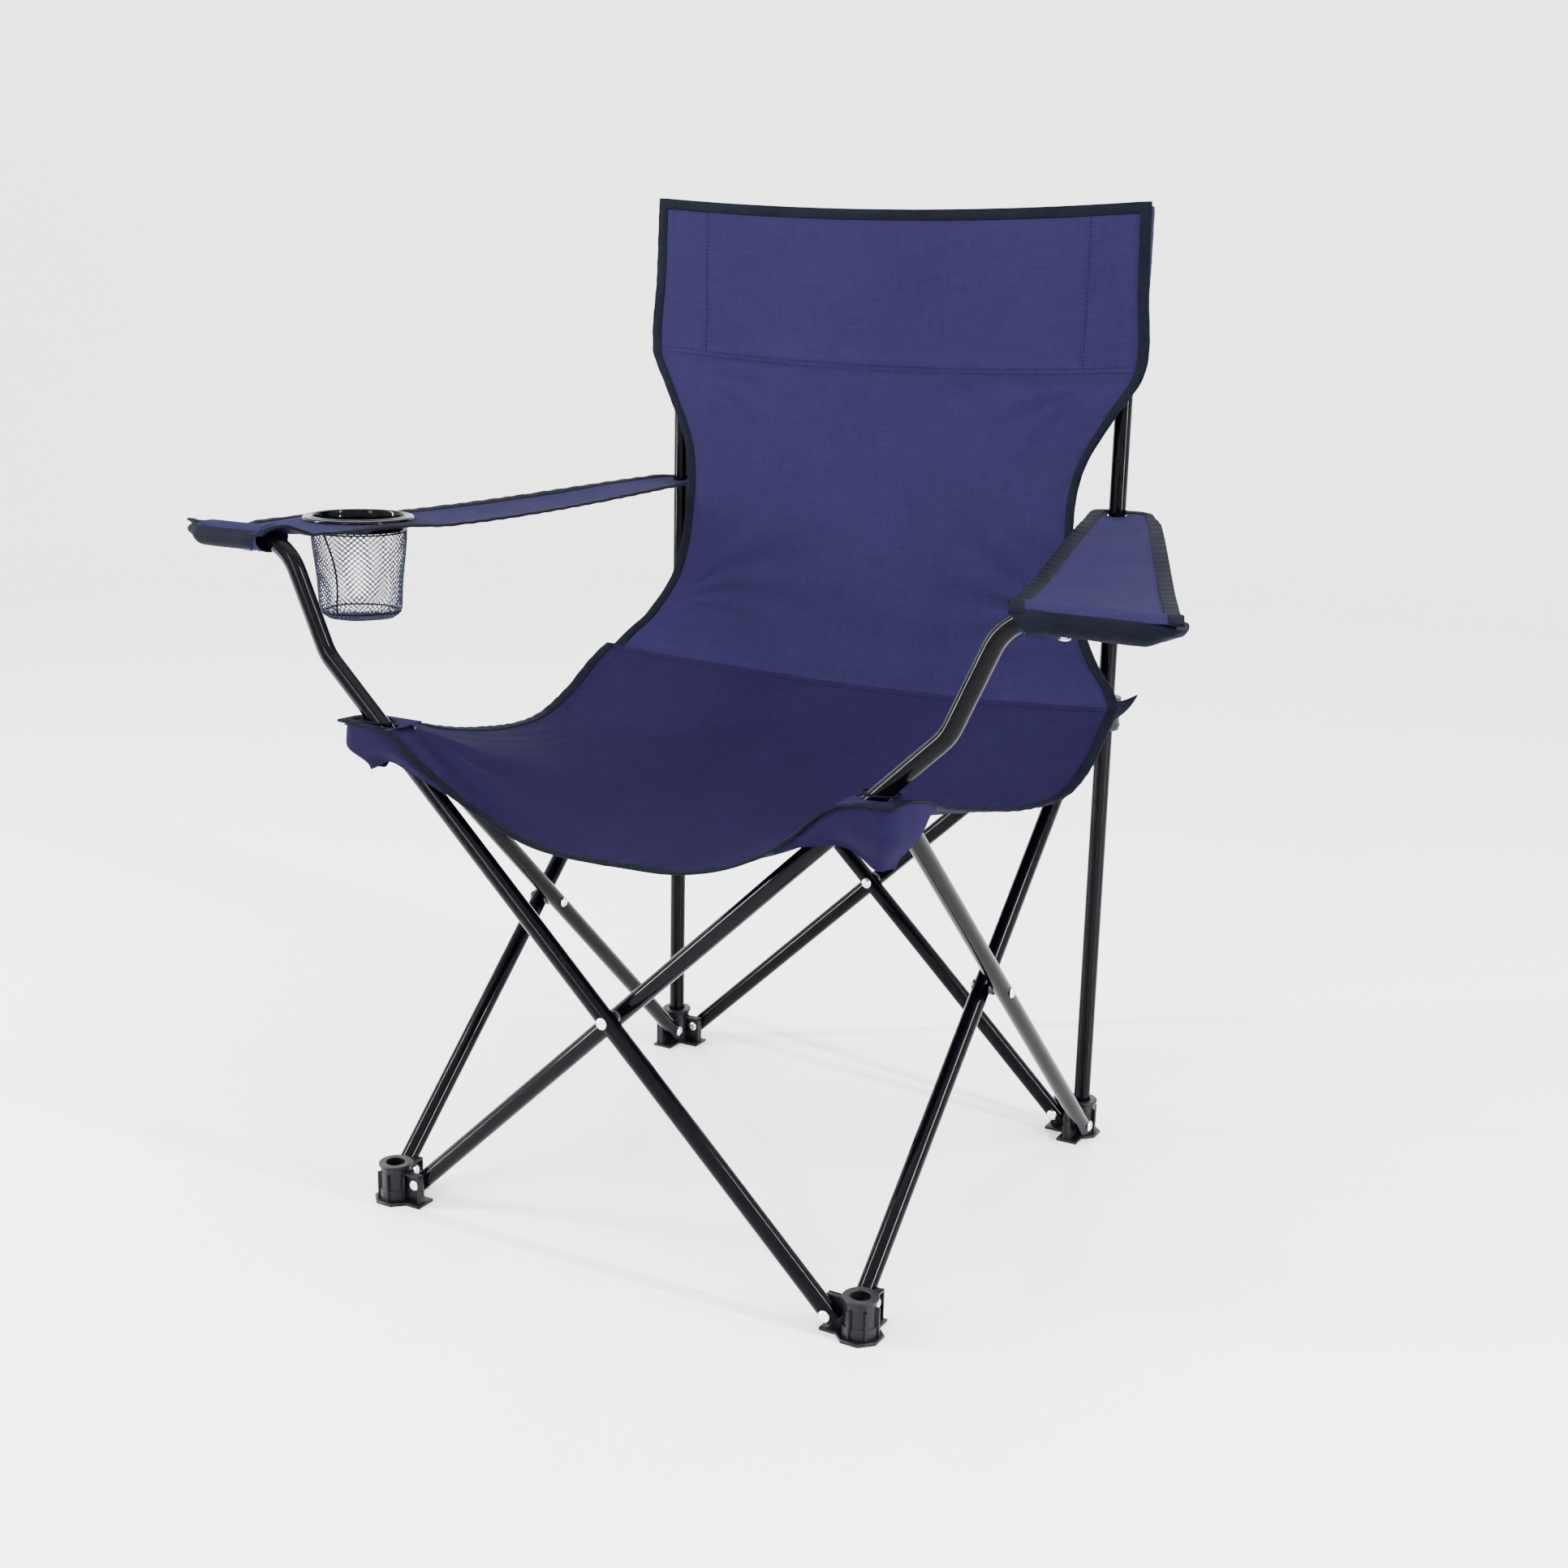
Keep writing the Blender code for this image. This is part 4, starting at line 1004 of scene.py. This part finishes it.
def buttonhole(name, side, body):
    """A ring of close stitching round the slot that the arm tube leaves by."""
    centre = arm_tube_crossing(side, HEM_HIGH + 0.0006)
    rings = []
    for step, at in enumerate(circle(72)):
        swell = 0.0010 if step % 2 else 0.00075
        out = Vector((math.cos(at) * SLOT_RADII[0], math.sin(at) * SLOT_RADII[1], 0))
        rim = centre + out * 1.02
        away = out.normalized()
        rings.append([rim + away * math.cos(turn) * swell * 1.5 + Vector((0, 0, math.sin(turn) * swell))
                      for turn in circle(8)])
    bm = bmesh.new()
    loft(bm, [*rings, rings[0]], caps=False)
    return finish(name, bm, TAPE, body, sharp=60.0)


POCKET_FLAT = (0.175, 0.062)
for side, word, deep in ((1, "left", 0.046), (-1, "right", 0.036)):
    body = f"front_{word}_top"
    # The pocket walls take the darker navy copy, which is painted shade.
    wall = panel(f"{word}_corner_pocket_cloth", 84, 26, pocket_surface(side, deep), POCKET_FLAT, body,
                 [f"{word}_corner_pocket"], cloth=SHADED_NAVY)
    slot_at = arm_tube_crossing(side, HEM_HIGH - 0.0035)
    lid = panel(f"{word}_corner_pocket_lid", 26, 26, lid_surface(side), (0.046, 0.044), body,
                holes=[(slot_at, SLOT_RADII, LEVEL_WAYS)])
    ring = buttonhole(f"{word}_arm_buttonhole", side, body)
print("pockets done")

# %% [markdown]
# ## Armrests
# Each armrest is a strap that tapers back to a post and widens to the front, where it wraps the level end
# of the arm tube in a flat sleeve. Wide dark tape binds its sides. On the real chair the strap gathers towards
# the post when it folds; here it keeps its shape and moves with its own body, while the sleeve goes with the
# tube, so they are separate pieces that overlap.

# %% Armrest straps
ARM_Z = LEVEL_Z + 0.0026
CUP = middle("cup_ring")
CUP_HOLE = span("cup_ring").x / 2 - 0.0045
WIDE_BINDING = 0.0090
GRIP_HEIGHT, GRIP_DEPTH = 0.0097, 0.0190
CREST = GRIP_HEIGHT + 0.0011
STRAP_TIP = {1: 0.4395, -1: 0.4140}
REAR_RISE = 0.018


def strap_surface(side):
    """From behind the post to the grip, over its crest and down to the top of its front face."""
    tube_y = -CORNER + side * PLANE
    front = tube_y - GRIP_DEPTH + 0.0008
    rear = CORNER + 0.0185
    wide_front = 0.4395 if side > 0 else 0.4340

    def surface(out, ahead):
        bow = 0.010 * (2 * out - 1) ** 2 * (1 - ease(ahead / 0.12))
        cut_back = (0.004 if side > 0 else 0.017) * ease((out - 0.55) / 0.45)
        y = rear + (front + cut_back - rear) * ahead - bow
        narrow = (wide_front - STRAP_TIP[side]) * (1 - ease((y - front) / 0.050))
        inner = CORNER - 0.024 + 0.1175 * ahead ** 1.22 + 0.005 * ease((ahead - 0.93) / 0.07)
        outer = CORNER + 0.028 + (wide_front - CORNER - 0.028) * ahead ** 0.95 - narrow
        x = inner + (outer - inner) * out
        over = (tube_y - y) / (GRIP_DEPTH + 0.001)
        if over > 0:
            crest = CREST * math.sqrt(max(0.0, 1 - over ** 2))
        else:
            crest = CREST * (1 - ease(-over * (GRIP_DEPTH + 0.001) / 0.026))
        level = LEVEL_Z - ARM_Z + crest if over > 0 else crest * (1 - (ARM_Z - LEVEL_Z) / CREST)
        rise = REAR_RISE * max(0.0, 1 - ahead / 0.66) ** 1.2
        sag = 0.0030 * math.sin(math.pi * ahead) ** 2
        sag += 0.0030 * 4 * out * (1 - out) * math.sin(math.pi * min(1, ahead * 1.1))
        sag *= ease((y - tube_y) / 0.03)
        height = rumple(x * side, y, 31.0 + side, 0.0014, 0.07)
        height = height * 4 * out * (1 - out) * ease((y - tube_y) / 0.03)
        height += pucker(min(out, 1 - out) * (outer - inner), y)
        if side < 0:
            apart = math.hypot(x + CUP.x, y + MID_Y - CUP.y)
            flat_share = 1 - ease((apart - 0.046) / 0.03)
            height, sag = height * (1 - flat_share), sag * (1 - flat_share)
            rise = rise * (1 - flat_share) + 0.0012 * flat_share
            sag += 0.013 * out ** 1.5 * math.exp(-((y - tube_y - 0.030) / 0.024) ** 2)
        return Vector((side * x, y + MID_Y, ARM_Z + level + rise - sag + height))
    return surface


def squash_strap(piece, side):
    if side > 0:
        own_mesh(piece)
    else:
        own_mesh(piece)
    return piece


STRAP_FLAT = (0.135, 0.46)
for side, word, body in ((1, "left", "root"), (-1, "right", "rear_right_corner")):
    surface = strap_surface(side)
    post_at = Vector((side * CORNER, CORNER + MID_Y, ARM_Z + REAR_RISE))
    holes = [(post_at, (TUBE_R + 0.0012, TUBE_R + 0.0012), LEVEL_WAYS)]
    if side < 0:
        holes.append(((CUP.x, CUP.y, ARM_Z), (CUP_HOLE, CUP_HOLE), LEVEL_WAYS))
    strap = panel(f"{word}_armrest_cloth", 48, 170, surface, STRAP_FLAT, body,
                  [f"{word}_armrest_strap"], holes)
    if side > 0:
        strap.data.flip_normals()

    def share_for(ahead):
        return WIDE_BINDING / (0.052 + 0.060 * ahead)

    pairs = [(surface(0.0, ahead), surface(share_for(ahead), ahead)) for ahead in walk(150, 1.0, 0.02)]
    pairs += [(surface(out, 0.0), surface(min(max(out, 0.12), 0.88), 0.020)) for out in walk(24)]
    pairs += [(surface(1.0, ahead), surface(1 - share_for(ahead), ahead)) for ahead in walk(150, 0.02, 1.0)]
    binding = tape(f"{word}_armrest_binding", pairs, body, half=0.0013, nose=0.0016)
    row = [edge.lerp(inner, 0.85) for edge, inner in pairs]
    outer_row = [edge.lerp(inner, 0.15) for edge, inner in pairs]
    up = Vector((0, 0, 1))
    sewn = stitches(f"{word}_armrest_stitches", [(row, up), (outer_row, up)], body, depth=0.0009)
    for piece in (strap, binding, sewn):
        squash_strap(piece, side)
print("straps done")

# %% Armrest sleeves
GRIP_IN = 0.3285
GRIP_LONG = {1: 0.1060, -1: 0.0830}


def grip_section(side, along, around, swell=0.0):
    """A point on the flat sleeve: along from the chair outwards, around from its back edge over the top."""
    x = GRIP_IN + GRIP_LONG[side] * along
    closing = 1 - ease((along - 0.80) / 0.20) * 0.55
    depth = GRIP_DEPTH * (1 - (0.25 if side > 0 else 0.5) * ease((along - 0.75) / 0.25)) + swell
    tall = GRIP_HEIGHT * closing * (1 + 0.16 * (1 - ease(along / 0.2))) + swell
    at = math.tau * around
    y, z = math.cos(at), math.sin(at)
    height = rumple(x, around * 0.13, 41.0 + side, 0.0008, 0.035) * (1 - abs(y) ** 3) * (z < 0)
    lift = 0.0020 * ease((along - 0.80) / 0.20)
    centre_y = MID_Y - CORNER + side * PLANE
    return Vector((side * x, centre_y + y * depth, LEVEL_Z + z * (tall + height) + lift))


for side, word, body in ((1, "left", "front_inner"), (-1, "right", "front_outer")):
    def sleeve(along, around, side=side):
        return grip_section(side, along, around)

    flat = (GRIP_LONG[side], 0.093)
    grip = panel(f"{word}_armrest_grip_cloth", 64, 88, sleeve, flat, body, [f"{word}_armrest_grip"])
    if side > 0:
        grip.data.flip_normals()
    rings = []
    beyond = 0.075 if side > 0 else 0.03
    for along in walk(90, -beyond, 1 + beyond):
        inside = min(max(along, 0.0), 1.0)
        stretch = Vector((side * (along - inside) * GRIP_LONG[side], 0, 0))
        full = 0.03 + 0.97 * ease(min(along + beyond, 1 + beyond - along) / 0.17)
        top, bottom = 0.440 - 0.050 * full, 0.444 + 0.220 * full
        outer = [grip_section(side, inside, around, 0.0004 + 0.0013 * full) + stretch
                 for around in walk(12, top, bottom)]
        inner = [grip_section(side, inside, around, 0.0002) + stretch for around in walk(12, bottom, top)]
        rings.append(outer + inner)
    bm = bmesh.new()
    loft(bm, rings)
    band = finish(f"{word}_armrest_front_tape", bm, TAPE, body, sharp=60.0)
    rings = []
    for along, swell in ((0.90, 0.0004), (0.905, 0.0010), (0.985, 0.0010), (1.004, 0.0004), (1.004, -0.0012)):
        inside = min(along, 1.0)
        stretch = Vector((side * (along - inside) * GRIP_LONG[side], 0, 0))
        rings.append([grip_section(side, inside, around, swell) + stretch
                      for around in walk(79, 0.0, 79 / 80)])
    bm = bmesh.new()
    loft(bm, rings)
    tip = finish(f"{word}_armrest_end_tape", bm, TAPE, body, sharp=60.0)
    rows = [([grip_section(side, along, around, 0.0010) for along in walk(60, 0.02, 0.9)],
             Vector((0, facing, 1)))
            for around, facing in ((0.402, -1), (0.650, -1))]
    sewn = stitches(f"{word}_armrest_grip_stitches", rows, body, depth=0.0008)
print("sleeves done")

# %% [markdown]
# ## Cup holder
# The ring is a glossy moulding whose lip lies on the cloth, with two beads that catch the light. The bag is
# knotted net: real strands, so that the floor shows through it. A grid spun from the bag's profile is
# split across its squares, which leaves diamonds, and each strand is given a square section.

# %% Ring and net
ring_low, ring_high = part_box("cup_ring")
LIP_R = span("cup_ring").x / 2
bm = bmesh.new()
throat = LIP_R - 0.0087
lip = ring_high[2]
turned(bm, [
    (throat, ring_low[2]), (throat + 0.0030, ring_low[2]), (throat + 0.0034, ring_low[2] + 0.0006),
    (throat + 0.0034, lip - 0.0032), (LIP_R - 0.0006, lip - 0.0032), (LIP_R, lip - 0.0026),
    (LIP_R - 0.0002, lip - 0.0017), (LIP_R - 0.0012, lip - 0.0007), (LIP_R - 0.0024, lip - 0.0004),
    (LIP_R - 0.0036, lip - 0.0012), (LIP_R - 0.0050, lip - 0.0011), (LIP_R - 0.0062, lip - 0.0001),
    (throat + 0.0014, lip + 0.0002), (throat + 0.0005, lip - 0.0004), (throat, lip - 0.0016),
], 96, Matrix.Translation((CUP.x, CUP.y, 0)))
cup_lip = finish("cup_ring_lip", bm, STEEL, "cup_holder", ["cup_ring"], sharp=50.0)

bag_low, bag_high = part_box("cup_basket")
BAG_TOP_R, BAG_FOOT_R = span("cup_basket").x / 2, 0.0345
BAG_AROUND = 46
STRAND = 0.00105
SEAM_R = 0.00085


def bag_radius(share):
    """Radius and height of the bag at a share of the way down."""
    drop = bag_high[2] - bag_low[2]
    wall, straight = 0.78, 0.82
    if share < wall:
        radius = BAG_TOP_R + (BAG_FOOT_R - BAG_TOP_R) * (share / wall) ** 1.3
        return radius, bag_high[2] - drop * share / wall * straight
    at = (share - wall) / (1 - wall) * math.pi / 2
    radius = BAG_FOOT_R - 0.013 * (1 - math.cos(at))
    return radius, bag_high[2] - drop * (straight + (1 - straight) * math.sin(at))


def bag_dent(at, share):
    """How much wider or narrower than round the slack net is, at an angle and a share of its depth."""
    return 1 + share * (0.06 * math.sin(3 * at + 0.6) + 0.035 * math.sin(5 * at) - 0.02) + 0.03 * math.sin(
        7 * share + 2 * at) * share


profile = [bag_radius(share) for share in walk(18)]
profile += [(profile[-1][0] * keep, bag_low[2]) for keep in (0.84, 0.68, 0.52, 0.36, 0.20, 0.10)]
bm = bmesh.new()
spun(bm, profile, BAG_AROUND)
bmesh.ops.remove_doubles(bm, verts=bm.verts, dist=1e-6)
old_edges = list(bm.edges)
bmesh.ops.poke(bm, faces=bm.faces)
rim_edges = {edge for edge in old_edges if edge.is_boundary}
bmesh.ops.dissolve_edges(bm, edges=[edge for edge in old_edges if edge not in rim_edges], use_verts=False)
for vert in bm.verts:
    at = math.atan2(vert.co.y, vert.co.x)
    share = (bag_high[2] - vert.co.z) / (bag_high[2] - bag_low[2])
    dent = bag_dent(at, share)
    vert.co.x *= dent
    vert.co.y *= dent
bmesh.ops.wireframe(bm, faces=bm.faces, thickness=STRAND, offset=0.0, use_replace=True, use_boundary=True,
                    use_even_offset=False)
bm.transform(Matrix.Translation((CUP.x, CUP.y, 0)))
bag = finish("cup_net_bag", bm, NET, "cup_holder", ["cup_basket"], sharp=60.0, clean=False)
print("net faces", len(bag.data.polygons))

# %% Seams of the bag
def cord_ring(bm, points, radius, closed):
    rings = []
    for number, point in enumerate(points):
        before = points[number - 1] if number or closed else point
        after = points[(number + 1) % len(points)] if number < len(points) - 1 or closed else point
        heading = (after - before).normalized()
        side = heading.orthogonal() if abs(heading.z) > 0.9 else heading.cross(Vector((0, 0, 1)))
        side.normalize()
        up = side.cross(heading)
        rings.append([point + (side * math.cos(at) + up * math.sin(at)) * radius
                      for at in circle(6)])
    loft(bm, [*rings, rings[0]] if closed else rings, caps=not closed)


def on_bag(at, share):
    radius, height = bag_radius(share)
    dent = bag_dent(at, (bag_high[2] - height) / (bag_high[2] - bag_low[2]))
    return Vector((CUP.x + math.cos(at) * radius * dent, CUP.y + math.sin(at) * radius * dent, height))


bm = bmesh.new()
cord_ring(bm, [on_bag(at, 0.86) for at in circle(90)], SEAM_R, True)
cord_ring(bm, [on_bag(at, 0.015) for at in circle(90)], 0.0008, True)
seam_at = math.radians(-95)
down_bag = [on_bag(seam_at + 0.25 * math.sin(share * 3), share) for share in walk(30, 0.02, 0.86)]
cord_ring(bm, down_bag, SEAM_R, False)
bag_seams = finish("cup_net_seams", bm, TAPE, "cup_holder", sharp=60.0)
print("cup holder done")

# %% [markdown]
# ## Studio
# A white cove stands all round, so that any view has a plain pale ground. One large soft light from above
# lights the cloth, and two long ones at the sides draw the lines of light down the tubes.

# %% Floor and lights
FLOOR = speckled("studio_white", 3.0, (0.90, 0.90, 0.905), (0.93, 0.93, 0.935), 0.05, 0.20,
                 Metallic=0.0, Specular_IOR_Level=0.35)

bm = bmesh.new()
flat, bend, wall = 3.4, 1.6, 6.0
profile = [(0.0, 0.0), (1.5, 0.0), (flat, 0.0)]
profile += [(flat + bend * math.sin(at), bend - bend * math.cos(at))
            for at in (math.pi / 24 * step for step in range(1, 13))]
profile += [(flat + bend, wall)]
spun(bm, profile, 64)
bmesh.ops.remove_doubles(bm, verts=bm.verts, dist=1e-5)
bmesh.ops.recalc_face_normals(bm, faces=bm.faces)
cove_mesh = bpy.data.meshes.new("studio_cove")
bm.to_mesh(cove_mesh)
bm.free()
cove_mesh.shade_smooth()
cove_mesh.materials.append(FLOOR)
cove = bpy.data.objects.new("studio_cove", cove_mesh)
bpy.context.scene.collection.objects.link(cove)


def soft_light(name, place, target, size, power):
    data = bpy.data.lights.new(name, "AREA")
    data.shape = "RECTANGLE"
    data.size, data.size_y = size
    data.energy = power
    made = bpy.data.objects.new(name, data)
    bpy.context.scene.collection.objects.link(made)
    aim = (Vector(target) - Vector(place)).to_track_quat("-Z", "Y")
    made.matrix_world = Matrix.Translation(place) @ aim.to_matrix().to_4x4()


soft_light("overhead_softbox", (0.0, -0.3, 3.2), (0, 0, 0.4), (2.6, 2.6), 60)
soft_light("left_strip", (-2.2, -1.3, 1.3), (0, 0, 0.5), (0.05, 2.4), 230)
soft_light("right_strip", (2.5, -0.2, 1.3), (0, 0, 0.5), (0.05, 2.4), 230)
soft_light("front_fill", (0.2, -3.2, 2.0), (0, 0, 0.5), (0.6, 1.6), 70)

world = bpy.data.worlds.new("studio_world")
world.use_nodes = True
world.node_tree.nodes["Background"].inputs["Color"].default_value = (1.0, 1.0, 1.0, 1.0)
world.node_tree.nodes["Background"].inputs["Strength"].default_value = 3.0
bpy.context.scene.world = world
print("studio ready")
